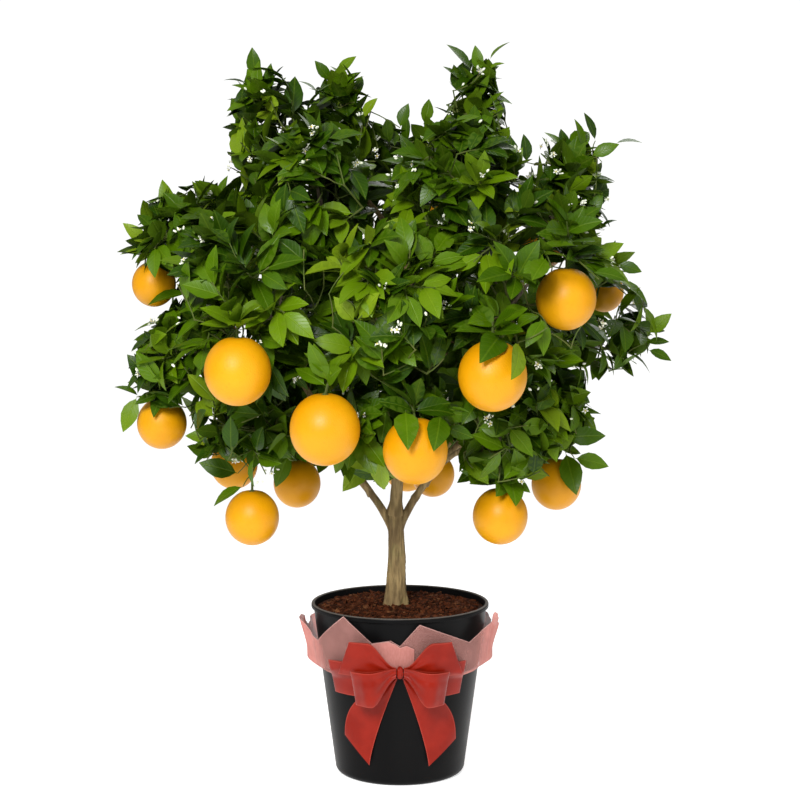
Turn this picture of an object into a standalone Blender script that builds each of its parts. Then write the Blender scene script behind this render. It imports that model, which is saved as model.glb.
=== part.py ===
"""A potted meyer lemon tree, dressed as a gift: a black pot of bark mulch, a short trunk that forks
into boughs, a round evergreen crown hung with fruit, a pink fabric wrap and a red ribbon bow.

Metres, +Z up. The origin is the middle of the pot's flat underside, and the bow faces -Y."""

import math
import random

import bmesh
import bpy
import numpy as np
from mathutils import Matrix, Vector
from mathutils.bvhtree import BVHTree

# Driving sizes of the pot and its fill
POT_HEIGHT = 0.222
POT_RIM_RADIUS = 0.115
POT_BASE_RADIUS = 0.083
POT_WALL = 0.0026
RIM_LIP = 0.0022
RIM_DEPTH = 0.006
BASE_ROUNDING = 0.009
POT_SIDES = 44
DRAIN_HOLES = 6
DRAIN_RADIUS = 0.006
DRAIN_CIRCLE = 0.055
MULCH_TOP = 0.217
MULCH_EDGE = 0.2135
MULCH_FLAT_RADIUS = 0.022
SEAT_GAP = 0.0003

# The trunk: heights above its cut, with the sideways lean and the radius at each
TRUNK_LEAN = ((0.0, -0.0062), (0.022, -0.0054), (0.060, -0.0039), (0.090, -0.0048), (0.122, -0.0066))
TRUNK_RADII = ((0.0, 0.0150), (0.022, 0.0125), (0.060, 0.0108), (0.090, 0.0095), (0.122, 0.0092))
TRUNK_RINGS = 9
FLARE_HEIGHT = 0.03
FLARE_LOBES = 5
FLARE_DEPTH = 0.0022
FLARE_TWIST = 0.6

# The crown's masses: the middle and the half sizes of each one's space
MASSES = {
    "top_left": ((-0.162, 0.000, 0.805), (0.076, 0.120, 0.128)),
    "top_middle": ((-0.078, 0.030, 0.800), (0.062, 0.110, 0.117)),
    "top_right": ((0.096, 0.010, 0.818), (0.060, 0.120, 0.122)),
    "top_front_left": ((-0.105, -0.140, 0.742), (0.088, 0.120, 0.098)),
    "top_front_right": ((0.070, -0.140, 0.748), (0.092, 0.120, 0.098)),
    "top_back": ((0.000, 0.155, 0.755), (0.150, 0.130, 0.100)),
    "left_upper": ((-0.248, 0.000, 0.683), (0.114, 0.150, 0.098)),
    "left_lower": ((-0.265, -0.010, 0.528), (0.094, 0.130, 0.104)),
    "right_upper": ((0.212, 0.000, 0.745), (0.073, 0.120, 0.104)),
    "right_middle": ((0.248, 0.000, 0.582), (0.104, 0.130, 0.092)),
    "front_left": ((-0.165, -0.190, 0.620), (0.125, 0.115, 0.125)),
    "front_middle": ((-0.015, -0.225, 0.610), (0.105, 0.105, 0.115)),
    "front_right": ((0.145, -0.190, 0.635), (0.125, 0.115, 0.125)),
    "back_left": ((-0.165, 0.190, 0.620), (0.135, 0.120, 0.130)),
    "back_middle": ((0.000, 0.225, 0.600), (0.105, 0.105, 0.115)),
    "back_right": ((0.165, 0.190, 0.620), (0.135, 0.120, 0.130)),
    "low_left": ((-0.184, -0.075, 0.460), (0.100, 0.120, 0.098)),
    "low_front": ((-0.015, -0.150, 0.475), (0.105, 0.120, 0.100)),
    "low_front_right": ((0.125, -0.110, 0.465), (0.095, 0.110, 0.100)),
    "low_right": ((0.184, 0.020, 0.462), (0.086, 0.115, 0.098)),
    "low_back_left": ((-0.135, 0.140, 0.465), (0.120, 0.120, 0.100)),
    "low_back_right": ((0.115, 0.150, 0.465), (0.115, 0.120, 0.100)),
}
SPACE_GAP = 0.0006

# The boughs: the limb that bears each, how far along it, its base radius, how strongly it rises, its mass
BOUGHS = {
    "bough_left": ("trunk", 0.74, 0.0054, 0.26, "left_lower"),
    "bough_centre": ("trunk", 1.0, 0.0082, 0.30, "top_front_right"),
    "bough_right": ("trunk", 0.77, 0.0055, 0.18, "right_middle"),
    "bough_top_front_left": ("bough_centre", 0.54, 0.0044, 0.36, "top_front_left"),
    "bough_top_left": ("bough_centre", 0.42, 0.0046, 0.40, "top_left"),
    "bough_top_middle": ("bough_centre", 0.60, 0.0042, 0.40, "top_middle"),
    "bough_top_right": ("bough_centre", 0.50, 0.0046, 0.40, "top_right"),
    "bough_top_back": ("bough_centre", 0.36, 0.0046, 0.40, "top_back"),
    "bough_front_left": ("bough_centre", 0.20, 0.0042, 0.34, "front_left"),
    "bough_front_middle": ("bough_centre", 0.14, 0.0042, 0.40, "front_middle"),
    "bough_front_right": ("bough_centre", 0.28, 0.0042, 0.34, "front_right"),
    "bough_back_left": ("bough_centre", 0.17, 0.0044, 0.36, "back_left"),
    "bough_back_middle": ("bough_centre", 0.11, 0.0042, 0.40, "back_middle"),
    "bough_back_right": ("bough_centre", 0.25, 0.0044, 0.36, "back_right"),
    "bough_low_front": ("bough_front_middle", 0.34, 0.0036, 0.20, "low_front"),
    "bough_left_upper": ("bough_left", 0.34, 0.0042, 0.40, "left_upper"),
    "bough_low_left": ("bough_left", 0.56, 0.0038, 0.24, "low_left"),
    "bough_low_back_left": ("bough_left", 0.24, 0.0038, 0.42, "low_back_left"),
    "bough_right_upper": ("bough_right", 0.36, 0.0042, 0.45, "right_upper"),
    "bough_low_front_right": ("bough_right", 0.20, 0.0038, 0.36, "low_front_right"),
    "bough_low_right": ("bough_right", 0.50, 0.0038, 0.34, "low_right"),
    "bough_low_back_right": ("bough_right", 0.28, 0.0038, 0.42, "low_back_right"),
}
BOUGH_TIP_RADIUS = 0.0028
BOUGH_STOP = 0.050
BOUGH_TAPER = 0.8
BOUGH_LIGHT_PULL = 0.6
BOUGH_BEND_PLACE = 0.22
SADDLE_GAP = 0.0006
CENTRE_BOUGH_SINK = 0.003
BOUGH_POINTS = 6
LIMB_SIDES_RESOLUTION = 1
TRUNK_SIDES_RESOLUTION = 4

# The fruit: middle and radius, the ones in front as they hang in view, the rest round the sides and back
FRUITS = (
    ((-0.3120, -0.020, 0.6337), 0.0278),
    ((-0.1860, -0.262, 0.5412), 0.0385),
    ((-0.3066, 0.000, 0.4541), 0.0319),
    ((-0.0859, -0.268, 0.4750), 0.0404),
    ((-0.2183, 0.050, 0.3942), 0.0310),
    ((-0.1846, -0.080, 0.3440), 0.0336),
    ((-0.1373, 0.080, 0.3655), 0.0314),
    ((0.0175, -0.250, 0.4479), 0.0375),
    ((0.0440, 0.100, 0.3745), 0.0290),
    ((0.1055, -0.268, 0.5362), 0.0395),
    ((0.1944, -0.205, 0.6217), 0.0354),
    ((0.2700, 0.080, 0.6205), 0.0258),
    ((0.1243, -0.100, 0.3489), 0.0341),
    ((0.2034, 0.020, 0.3724), 0.0323),
    ((-0.060, 0.296, 0.560), 0.036),
    ((0.120, 0.292, 0.500), 0.038),
    ((-0.215, 0.236, 0.480), 0.035),
    ((0.205, 0.215, 0.465), 0.034),
    ((0.200, 0.250, 0.680), 0.033),
    ((-0.258, 0.170, 0.555), 0.035),
    ((0.010, 0.200, 0.372), 0.033),
    ((0.040, 0.262, 0.720), 0.032),
)
FRUIT_SIDES = 8
FRUIT_BANDS = 4
FRUIT_TALLNESS = 1.045
STALK_LENGTH = 0.020
STALK_RADIUS = 0.0021
STALK_SINK = 0.8
ANCHOR_MARGIN = 0.008
ANCHOR_STEPS = 14

# Twigs and leaves
SHOOTS_PER_MASS = 4
SHOOT_REACH = 0.62
SHOOT_SPREAD = 0.3
SHOOT_MARGIN = 0.012
SHOOT_TRIES = 16
ELBOW_TRIES = 40
STEM_LENGTH = 0.014
TWIG_RADIUS = 0.0023
TWIG_THICKENING = 0.15
TWIG_SIDES = 3
TWIG_CLEARANCE = 0.002
TWIG_TEST_STEP = 0.004
DETOUR_COST = 0.35
JOINT_OVERLAP = 0.0015
LEAVES_PER_MASS = 16
LEAF_TRIES = 70
LEAF_LENGTH = (0.080, 0.106)
LEAF_WIDTH = 0.56
LEAF_NEAREST_JOINT = 0.006
LEAF_WIDEST = 0.44
LEAF_FOLD = 0.055
LEAF_DROOP = 0.08
LEAF_ANGLE = (0.6, 1.35)
LEAF_TO_TIP = 1.3
LEAF_OUTWARD = 0.45
LEAF_FACES_OUT = 0.9
LEAF_FACES_UP = 0.6
LEAF_UNEVENNESS = 0.3
LEAF_CLEARANCE = 0.0012
ROOT_CLEARANCE = 0.008
OUTSIDE_PULL = 0.4
BLOSSOM_RADIUS = 0.009
BLOSSOM_SINK = 0.45
CROWN_MIDDLE = np.array((0.0, 0.0, 0.56))

# The wrap: how far round from the front each crest or dip stands, its height and how far it leans out
WRAP_CREST = (
    (-180, 0.188, 0.008), (-156, 0.198, 0.012), (-138, 0.184, 0.008), (-114, 0.197, 0.012),
    (-102, 0.187, 0.013), (-84, 0.208, 0.016), (-60, 0.184, 0.011), (-36, 0.222, 0.006),
    (-18, 0.190, 0.003), (-6, 0.194, 0.001), (0, 0.187, 0.001), (12, 0.215, 0.004),
    (48, 0.185, 0.008), (72, 0.216, 0.0165), (96, 0.187, 0.015), (114, 0.198, 0.012),
    (138, 0.184, 0.008), (162, 0.198, 0.012),
)
WRAP_COLUMNS = 60
WRAP_SHARES = (0.0, 0.2, 1.0)
WRAP_THICKNESS = 0.0011
WRAP_STANDOFF = 0.0005
WRAP_TIE_FRONT = 0.150
WRAP_TIE_BACK = 0.140
WRAP_TIE_SPREAD = 50.0
WRAP_FULLNESS = 5.0

# The bow: a tied knot, three loops a side and two tails, in front of the wrap and leaning with it
KNOT_HEIGHT = 0.154
KNOT_SIZE = (0.009, 0.0124, 0.017)
KNOT_BACK = -0.0009
KNOT_ROUNDING = 0.0025
RIBBON_WIDTH = 0.044
RIBBON_THICKNESS = 0.0009
RIBBON_PINCH = 0.012
RIBBON_PASS_GAP = 0.0016
BOW_STANDOFF = 0.0028
BOW_OVER_WRAP = 5.0
# Each loop: its reach to the left and to the right, the slant and the rise of its far end, how far its
# passes stand off at the knot, how much farther they stand off where it is open, and how deep it opens
LOOPS = {
    "bow_loop_back": (0.0858, 0.0790, 0.10, -0.0117, 0.0018, 0.0012, 0.0058),
    "bow_loop_upper": (0.0703, 0.0712, -0.20, 0.0170, 0.0048, 0.0062, 0.0045),
    "bow_loop_front": (0.0580, 0.0580, 0.12, -0.0188, 0.0080, 0.0096, 0.0100),
}
LOOP_STATIONS = 8
LOOP_ROUNDNESS = 0.7
LOOP_OPENS_BY = 1.6
# Each tail: its side, then how far across and how high the inner and the outer corner of its end lie
TAILS = {
    "bow_tail_left": (-1, (0.0386, 0.0282), (0.0698, 0.0640)),
    "bow_tail_right": (1, (0.0363, 0.0273), (0.0706, 0.0584)),
}
TAIL_STATIONS = 6
TAIL_START = (0.003, 0.010)
TAIL_BENDS = (1.3, 2.6)
TAIL_NEAR = -0.0010
TAIL_BILLOW = 0.0035
TAIL_BILLOW_STARTS = 0.35


# General helpers

def clear_scene():
    for obj in list(bpy.data.objects):
        bpy.data.objects.remove(obj, do_unlink=True)


def new_collection(name):
    made = bpy.data.collections.new(name)
    bpy.context.scene.collection.children.link(made)
    return made


def new_material(name, colour, roughness):
    material = bpy.data.materials.new(name)
    material.use_nodes = True
    shader = material.node_tree.nodes["Principled BSDF"]
    shader.inputs["Base Color"].default_value = (*colour, 1.0)
    shader.inputs["Roughness"].default_value = roughness
    shader.inputs["Metallic"].default_value = 0.0
    material.diffuse_color = (*colour, 1.0)
    return material


def object_from_bmesh(name, bm, collection, material=None):
    mesh = bpy.data.meshes.new(name)
    bm.to_mesh(mesh)
    bm.free()
    obj = bpy.data.objects.new(name, mesh)
    collection.objects.link(obj)
    if material:
        mesh.materials.append(material)
    return obj


def baked(obj):
    """A plain mesh of the object as its modifiers leave it, in world space."""
    bpy.context.view_layer.update()
    graph = bpy.context.evaluated_depsgraph_get()
    mesh = bpy.data.meshes.new_from_object(obj.evaluated_get(graph))
    mesh.transform(obj.matrix_world)
    return mesh


def smooth(obj, angle=40):
    obj.data.shade_smooth()
    obj.data.set_sharp_from_angle(angle=math.radians(angle))


def interpolate(table, at):
    """The value of a table of (place, value) rows at a place between them."""
    places = [row[0] for row in table]
    values = [row[1] for row in table]
    return float(np.interp(at, places, values))


def ease(amount):
    amount = min(max(amount, 0.0), 1.0)
    return amount * amount * (3 - 2 * amount)


def unit(vector):
    return vector / max(float(np.linalg.norm(vector)), 1e-9)


def turned(name, profile, sides, collection, material):
    """A solid of revolution from a profile in the XZ plane that runs down its outer side."""
    mesh = bpy.data.meshes.new(name)
    points = [(radius, 0.0, height) for radius, height in profile]
    mesh.from_pydata(points, [(i, i + 1) for i in range(len(points) - 1)], [])
    obj = bpy.data.objects.new(name, mesh)
    collection.objects.link(obj)
    screw = obj.modifiers.new("Turn", "SCREW")
    screw.steps = sides
    screw.render_steps = sides
    screw.use_merge_vertices = True
    screw.merge_threshold = 0.00001
    solid = bpy.data.objects.new(name, baked(obj))
    bpy.data.objects.remove(obj)
    solid.name = name
    collection.objects.link(solid)
    solid.data.materials.append(material)
    return solid


def cut(obj, cutter, operation="DIFFERENCE"):
    """Applies one Boolean of obj with cutter, and keeps obj's name and materials."""
    boolean = obj.modifiers.new("Cut", "BOOLEAN")
    boolean.operation = operation
    boolean.solver = "EXACT"
    boolean.object = cutter
    mesh = baked(obj)
    obj.modifiers.clear()
    obj.data = mesh


# The pot and what fills it

def wall_radius(height):
    """The outer radius of the pot's wall at a height."""
    top = POT_RIM_RADIUS - RIM_LIP
    return POT_BASE_RADIUS + (top - POT_BASE_RADIUS) * height / POT_HEIGHT


def pot_profile():
    top = POT_RIM_RADIUS
    under_lip = POT_HEIGHT - RIM_DEPTH
    profile = [
        (0.0, POT_WALL),
        (wall_radius(POT_WALL) - POT_WALL - BASE_ROUNDING * 0.8, POT_WALL),
        (wall_radius(BASE_ROUNDING) - POT_WALL, BASE_ROUNDING + POT_WALL),
        (wall_radius(POT_HEIGHT) - POT_WALL, POT_HEIGHT - 0.0008),
        (wall_radius(POT_HEIGHT) - POT_WALL + 0.001, POT_HEIGHT),
        (top - 0.0008, POT_HEIGHT),
        (top, POT_HEIGHT - 0.001),
        (top, under_lip + 0.0008),
        (wall_radius(under_lip), under_lip - 0.0004),
    ]
    corner = wall_radius(BASE_ROUNDING)
    for step in range(4):
        angle = math.radians(90 * step / 3)
        radius = corner - BASE_ROUNDING * (1 - math.cos(angle))
        profile.append((radius, BASE_ROUNDING * (1 - math.sin(angle))))
    profile.append((0.0, 0.0))
    return profile


def make_pot(collection, cutters, material):
    pot = turned("pot", pot_profile(), POT_SIDES, collection, material)
    for number in range(DRAIN_HOLES):
        angle = 2 * math.pi * number / DRAIN_HOLES
        place = (DRAIN_CIRCLE * math.cos(angle), DRAIN_CIRCLE * math.sin(angle), POT_WALL / 2)
        bpy.ops.mesh.primitive_cylinder_add(vertices=10, radius=DRAIN_RADIUS, depth=POT_WALL * 4)
        drill = bpy.context.active_object
        drill.location = place
        drill.name = f"drain_drill_{number}"
        cut(pot, drill)
        move_to(drill, cutters)
    smooth(pot)
    return pot


def move_to(obj, collection):
    for owner in list(obj.users_collection):
        owner.objects.unlink(obj)
    collection.objects.link(obj)
    obj.hide_render = True
    obj.display_type = "WIRE"


def make_mulch(collection, material):
    clear = POT_WALL + SEAT_GAP
    edge = wall_radius(MULCH_EDGE) - clear
    floor = POT_WALL + SEAT_GAP
    profile = [
        (0.0, MULCH_TOP),
        (MULCH_FLAT_RADIUS, MULCH_TOP),
        (edge * 0.75, MULCH_TOP - (MULCH_TOP - MULCH_EDGE) * 0.35),
        (edge, MULCH_EDGE),
        (wall_radius(BASE_ROUNDING) - clear - SEAT_GAP, BASE_ROUNDING + POT_WALL + SEAT_GAP),
        (wall_radius(POT_WALL) - clear - BASE_ROUNDING * 0.9, floor),
        (0.0, floor),
    ]
    mulch = turned("mulch", profile, POT_SIDES, collection, material)
    smooth(mulch)
    return mulch


# Limbs

def curve_limb(name, points, radii, resolution, collection):
    """A tapering limb: a curve with a radius at each point and filled caps, made a mesh with welded caps."""
    curve = bpy.data.curves.new(name, "CURVE")
    curve.dimensions = "3D"
    curve.bevel_depth = 1.0
    curve.bevel_resolution = resolution
    curve.use_fill_caps = True
    spline = curve.splines.new("POLY")
    spline.points.add(len(points) - 1)
    for place, point, radius in zip(spline.points, points, radii):
        place.co = (*point, 1.0)
        place.radius = radius
    source = bpy.data.objects.new(name, curve)
    collection.objects.link(source)
    mesh = baked(source)
    bpy.data.objects.remove(source)
    bm = bmesh.new()
    bm.from_mesh(mesh)
    bmesh.ops.remove_doubles(bm, verts=bm.verts, dist=0.00001)
    bmesh.ops.recalc_face_normals(bm, faces=bm.faces)
    bpy.data.meshes.remove(mesh)
    return object_from_bmesh(name, bm, collection)


def trunk_path():
    height = TRUNK_LEAN[-1][0]
    foot = MULCH_TOP + SEAT_GAP
    levels = [height * step / (TRUNK_RINGS - 1) for step in range(TRUNK_RINGS)]
    points = [np.array((interpolate(TRUNK_LEAN, level), 0.0, foot + level)) for level in levels]
    radii = [interpolate(TRUNK_RADII, level) for level in levels]
    return points, radii


def make_trunk(collection, material):
    points, radii = trunk_path()
    trunk = curve_limb("trunk", points, radii, TRUNK_SIDES_RESOLUTION, collection)
    foot = points[0][2]
    for vertex in trunk.data.vertices:
        level = vertex.co.z - foot
        axis = interpolate(TRUNK_LEAN, level)
        flare = 1 - ease(level / FLARE_HEIGHT)
        around = math.atan2(vertex.co.y, vertex.co.x - axis)
        ridge = FLARE_DEPTH * flare * math.cos(FLARE_LOBES * around + FLARE_TWIST)
        outward = Vector((math.cos(around), math.sin(around), 0))
        if (Vector((vertex.co.x - axis, vertex.co.y, 0))).length > 0.004:
            vertex.co += outward * ridge
        if level < 0.0005:
            vertex.co.z = foot
    trunk.data.materials.append(material)
    smooth(trunk, 60)
    return trunk


def along(points, share):
    """The point and the direction at a share of the way along a path."""
    place = share * (len(points) - 1)
    index = min(int(place), len(points) - 2)
    step = points[index + 1] - points[index]
    return points[index] + step * (place - index), unit(step)


def bough_path(limbs, parent, share, base_radius, rise, mass):
    """A limb that leaves its parent at an acute angle and bends out to stop inside its mass."""
    parent_points, _ = limbs[parent]
    start, heading = along(parent_points, share)
    middle = np.array(MASSES[mass][0])
    towards = middle - start
    end = middle - unit(towards) * BOUGH_STOP
    span = float(np.linalg.norm(end - start))
    lift = unit(heading + np.array((0, 0, BOUGH_LIGHT_PULL))) * span * rise
    control = start + lift + (end - start) * BOUGH_BEND_PLACE
    points, radii = [], []
    for number in range(BOUGH_POINTS):
        t = number / (BOUGH_POINTS - 1)
        points.append(start * (1 - t) ** 2 + control * 2 * t * (1 - t) + end * t * t)
        radii.append(base_radius + (BOUGH_TIP_RADIUS - base_radius) * t ** BOUGH_TAPER)
    return points, radii


def all_limbs():
    """The path and the radii of the trunk and of every bough, parents first."""
    limbs = {"trunk": trunk_path()}
    for name, (parent, share, base_radius, rise, mass) in BOUGHS.items():
        limbs[name] = bough_path(limbs, parent, share, base_radius, rise, mass)
    top, heading = along(limbs["trunk"][0], 1.0)
    limbs["bough_centre"][0][0] = top - heading * CENTRE_BOUGH_SINK
    return limbs


def dense(points, radii, steps=12):
    """Many points along a limb, with the radius at each."""
    places = np.linspace(0, len(points) - 1, steps * (len(points) - 1) + 1)
    columns = np.array(points)
    return (
        np.column_stack([np.interp(places, range(len(points)), columns[:, axis]) for axis in range(3)]),
        np.interp(places, range(len(radii)), radii),
    )


def make_boughs(limbs, collection, cutters, material):
    """Each bough is cut to a saddle that stays clear of every earlier limb it meets."""
    earlier = ["trunk"]
    for name in BOUGHS:
        points, radii = limbs[name]
        bough = curve_limb(name, points, radii, LIMB_SIDES_RESOLUTION, collection)
        line, thickness = dense(points, radii)
        for other in earlier:
            gaps = gaps_to_segments(line, limb_segments([limbs[other]])).min(axis=1) - thickness
            if gaps.min() > SEAT_GAP * 2:
                continue
            other_points, other_radii = limbs[other]
            tip = other_points[-1] + unit(other_points[-1] - other_points[-2]) * SEAT_GAP
            swollen = [radius + SADDLE_GAP for radius in other_radii]
            resolution = TRUNK_SIDES_RESOLUTION if other == "trunk" else LIMB_SIDES_RESOLUTION
            path = other_points[:-1] + [tip]
            saddle = curve_limb(f"saddle_{name}_{other}", path, swollen, resolution, collection)
            cut(bough, saddle)
            move_to(saddle, cutters)
        bough.data.materials.append(material)
        keep_largest(bough)
        smooth(bough, 60)
        earlier.append(name)


# Where foliage may grow

def limb_segments(limbs):
    """A row for each straight piece of the limbs: its ends and its radii."""
    rows = []
    for points, radii in limbs:
        for i in range(len(points) - 1):
            rows.append((*points[i], *points[i + 1], radii[i], radii[i + 1]))
    return np.array(rows)


def gaps_to_segments(points, segments):
    """How far each point is from each tapering segment's surface."""
    start, step = segments[:, 0:3], segments[:, 3:6] - segments[:, 0:3]
    offset = points[:, None, :] - start[None]
    share = np.clip((offset * step).sum(2) / np.maximum((step * step).sum(1), 1e-12), 0, 1)
    gap = np.linalg.norm(offset - share[..., None] * step, axis=2)
    return gap - (segments[:, 6] + share * (segments[:, 7] - segments[:, 6]))


def swollen_limb(points, radii):
    """A limb's surface moved out a little, to test leaves against."""
    wider = [radius + SADDLE_GAP for radius in radii]
    limb = curve_limb("swollen", points, wider, LIMB_SIDES_RESOLUTION, bpy.context.scene.collection)
    bm = bmesh.new()
    bm.from_mesh(limb.data)
    shape = BVHTree.FromBMesh(bm)
    bm.free()
    bpy.data.objects.remove(limb)
    return shape


def fruit_ball(place, radius):
    bm = bmesh.new()
    bmesh.ops.create_uvsphere(bm, u_segments=FRUIT_SIDES, v_segments=FRUIT_BANDS, radius=radius)
    bmesh.ops.scale(bm, vec=(1, 1, FRUIT_TALLNESS), verts=bm.verts)
    bmesh.ops.translate(bm, verts=bm.verts, vec=Vector(place))
    return bm


def swollen_fruit(place, radius):
    bm = fruit_ball(place, radius + SADDLE_GAP)
    shape = BVHTree.FromBMesh(bm)
    bm.free()
    return shape


class Crown:
    """The spaces of the masses, and the limbs and fruit that stand in them."""

    def __init__(self, limbs):
        self.names = list(MASSES)
        self.middles = np.array([middle for middle, _ in MASSES.values()])
        self.halves = np.array([half for _, half in MASSES.values()])
        self.weights = self.halves.mean(axis=1) ** 2
        self.limbs = limb_segments(limbs.values())
        self.fruit_middles = np.array([place for place, _ in FRUITS])
        self.fruit_radii = np.array([radius for _, radius in FRUITS])
        self.owners, self.anchors = [], []
        for place, radius in zip(self.fruit_middles, self.fruit_radii):
            owner, anchor = self.hang(place, radius)
            self.owners.append(owner)
            self.anchors.append(anchor)
        stalks = [((place, anchor), (STALK_RADIUS, STALK_RADIUS))
                  for place, anchor in zip(self.fruit_middles, self.anchors)]
        self.stalks = limb_segments(stalks)
        self.shapes = [swollen_limb(points, radii) for points, radii in limbs.values()]
        self.shapes += [swollen_fruit(place, radius) for place, radius in FRUITS]
        self.blades = []

    def powers(self, points):
        gaps = points[:, None, :] - self.middles[None]
        return (gaps * gaps).sum(2) - self.weights

    def holds(self, name, points, clearance=SPACE_GAP):
        """True where all the points are in the mass's own space, clear of its neighbours' spaces."""
        index = self.names.index(name)
        scaled = np.linalg.norm((points - self.middles[index]) / self.halves[index], axis=1)
        if scaled.max() > 1 - clearance / self.halves[index].mean():
            return False
        powers = self.powers(points)
        apart = np.linalg.norm(self.middles - self.middles[index], axis=1)
        apart[index] = 1.0
        margin = (powers - powers[:, [index]]) / (2 * apart)
        margin[:, index] = 1.0
        return bool(margin.min() > clearance)

    def hang(self, place, radius):
        """The mass that bears a fruit, and where its stalk leaves a twig: above, or drawn in to where
        there is room."""
        above = place + np.array((0, 0, radius * FRUIT_TALLNESS + STALK_LENGTH))
        index = int(self.powers(above[None])[0].argmin())
        for step in range(ANCHOR_STEPS):
            anchor = above + (self.middles[index] - above) * step / ANCHOR_STEPS
            if self.holds(self.names[index], anchor[None], ANCHOR_MARGIN):
                break
        return self.names[index], anchor

    def touches(self, name, points, clearance):
        """True if a point is too near a limb, a fruit or another mass's fruit stalk."""
        if (gaps_to_segments(points, self.limbs) < clearance).any():
            return True
        gaps = np.linalg.norm(points[:, None, :] - self.fruit_middles[None], axis=2) - self.fruit_radii
        if (gaps < clearance).any():
            return True
        foreign = self.stalks[[owner != name for owner in self.owners]]
        return bool((gaps_to_segments(points, foreign) < clearance).any())


# Twigs

def random_direction(rng):
    return unit(np.array([rng.gauss(0, 1) for _ in range(3)]))


def shoot_target(crown, name, chosen, rng):
    """A place for a shoot's end in the mass's space: the farthest from the others of a few random tries."""
    index = crown.names.index(name)
    best, best_gap = None, -1.0
    for _ in range(SHOOT_TRIES):
        reach = SHOOT_REACH * rng.random() ** SHOOT_SPREAD
        point = crown.middles[index] + random_direction(rng) * crown.halves[index] * reach
        gap = min((float(np.linalg.norm(point - other)) for other in chosen), default=1.0)
        if gap > best_gap and crown.holds(name, point[None], SHOOT_MARGIN):
            best, best_gap = point, gap
    return best


def open_way(crown, name, start, end):
    """True if a twig can run from start to end inside the mass and clear of limbs and fruit."""
    count = max(2, int(np.linalg.norm(end - start) / TWIG_TEST_STEP))
    line = start + (end - start) * np.linspace(0, 1, count)[:, None]
    if not crown.holds(name, line, TWIG_RADIUS + SPACE_GAP):
        return False
    return not crown.touches(name, line, TWIG_RADIUS + TWIG_CLEARANCE)


def join(crown, name, nodes, target):
    """Joins a target to the nearest twig with an open way to it, counting a long detour as farther."""
    ranked = []
    for number, (place, _, length) in enumerate(nodes[1:], start=1):
        span = float(np.linalg.norm(target - place))
        ranked.append((span + DETOUR_COST * (length + span), number, length + span))
    for _, number, length in sorted(ranked):
        if open_way(crown, name, nodes[number][0], target):
            nodes.append((target, number, length))
            return True
    return False


def grow(crown, name, base, heading, rng):
    """Twigs that branch from one stem: nodes with their place, their parent's number and their length.

    Fruit anchors come first, by way of a random elbow where none has an open way."""
    nodes = [(base, -1, 0.0), (base + heading * STEM_LENGTH, 0, STEM_LENGTH)]
    anchors = [anchor for anchor, owner in zip(crown.anchors, crown.owners) if owner == name]
    anchors.sort(key=lambda anchor: float(np.linalg.norm(anchor - base)))
    for anchor in anchors:
        reached = join(crown, name, nodes, anchor)
        for _ in range(ELBOW_TRIES):
            if reached:
                break
            elbow = shoot_target(crown, name, [], rng)
            if elbow is not None and open_way(crown, name, elbow, anchor) and join(crown, name, nodes, elbow):
                reached = join(crown, name, nodes, anchor)
        if not reached:
            print(f"{name}: no open way to a fruit's anchor at {anchor.round(3)}")
    targets = list(anchors)
    for _ in range(SHOOTS_PER_MASS):
        target = shoot_target(crown, name, targets, rng)
        if target is not None:
            targets.append(target)
    for target in sorted(targets[len(anchors):], key=lambda target: float(np.linalg.norm(target - base))):
        join(crown, name, nodes, target)
    return nodes


def free_ends(nodes):
    parents = {parent for _, parent, _ in nodes}
    return [number for number in range(2, len(nodes)) if number not in parents]


def twig_radii(nodes):
    """A twig is thicker where more shoots hang from it."""
    carried = [0] * len(nodes)
    for number in free_ends(nodes):
        while number >= 0:
            carried[number] += 1
            number = nodes[number][1]
    return [min(BOUGH_TIP_RADIUS, TWIG_RADIUS * max(count, 1) ** TWIG_THICKENING) for count in carried]


def facing(direction, hint):
    """Axes for a piece that runs along direction with its upper side turned to hint."""
    ahead = unit(direction)
    side = unit(np.cross(hint, ahead))
    return ahead, side, np.cross(ahead, side)


def placed(x_axis, y_axis, z_axis, origin):
    columns = [Vector(axis).to_4d() for axis in (x_axis, y_axis, z_axis)]
    matrix = Matrix.Identity(4)
    for number, column in enumerate(columns):
        for row in range(3):
            matrix[row][number] = column[row]
    matrix.translation = Vector(origin)
    return matrix


def prism(start, end, start_radius, end_radius, collection, before=JOINT_OVERLAP):
    """A three-sided twig from start to end, run on a little past each joint."""
    ahead = unit(end - start)
    first, last = start - ahead * before, end + ahead * JOINT_OVERLAP
    length = float(np.linalg.norm(last - first))
    bm = bmesh.new()
    bmesh.ops.create_cone(
        bm, cap_ends=True, segments=TWIG_SIDES, radius1=start_radius, radius2=end_radius, depth=length
    )
    axis, side, up = facing(ahead, np.array((0.3, 0.2, 1.0)))
    bmesh.ops.transform(bm, matrix=placed(side, up, axis, (first + last) / 2), verts=bm.verts)
    return object_from_bmesh("twig", bm, collection)


# Leaves, blossom and fruit

def leaf_corner(corner, length):
    """Where a corner of a three-sided cone lies on a leaf that runs along X with its upper side to Z."""
    x, y, z = corner
    if z > 0:
        return length, 0.0, -LEAF_DROOP * length
    if y > 0:
        return 0.0, 0.0, 0.0
    return LEAF_WIDEST * length, math.copysign(LEAF_WIDTH * length / 2, x), -LEAF_FOLD * length


def leaf_points(length):
    """Points over a leaf that stand for it when its room is tested."""
    left, right = (np.array(leaf_corner((x, -1, -1), length)) for x in (-1, 1))
    root, tip = np.zeros(3), np.array(leaf_corner((0, 0, 1), length))
    points = [left, right, tip, (left + root) / 2, (right + root) / 2, (left + tip) / 2, (right + tip) / 2]
    points += [root + (tip - root) * share for share in (0.2, 0.4, 0.6, 0.8)]
    return np.array(points)


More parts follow.
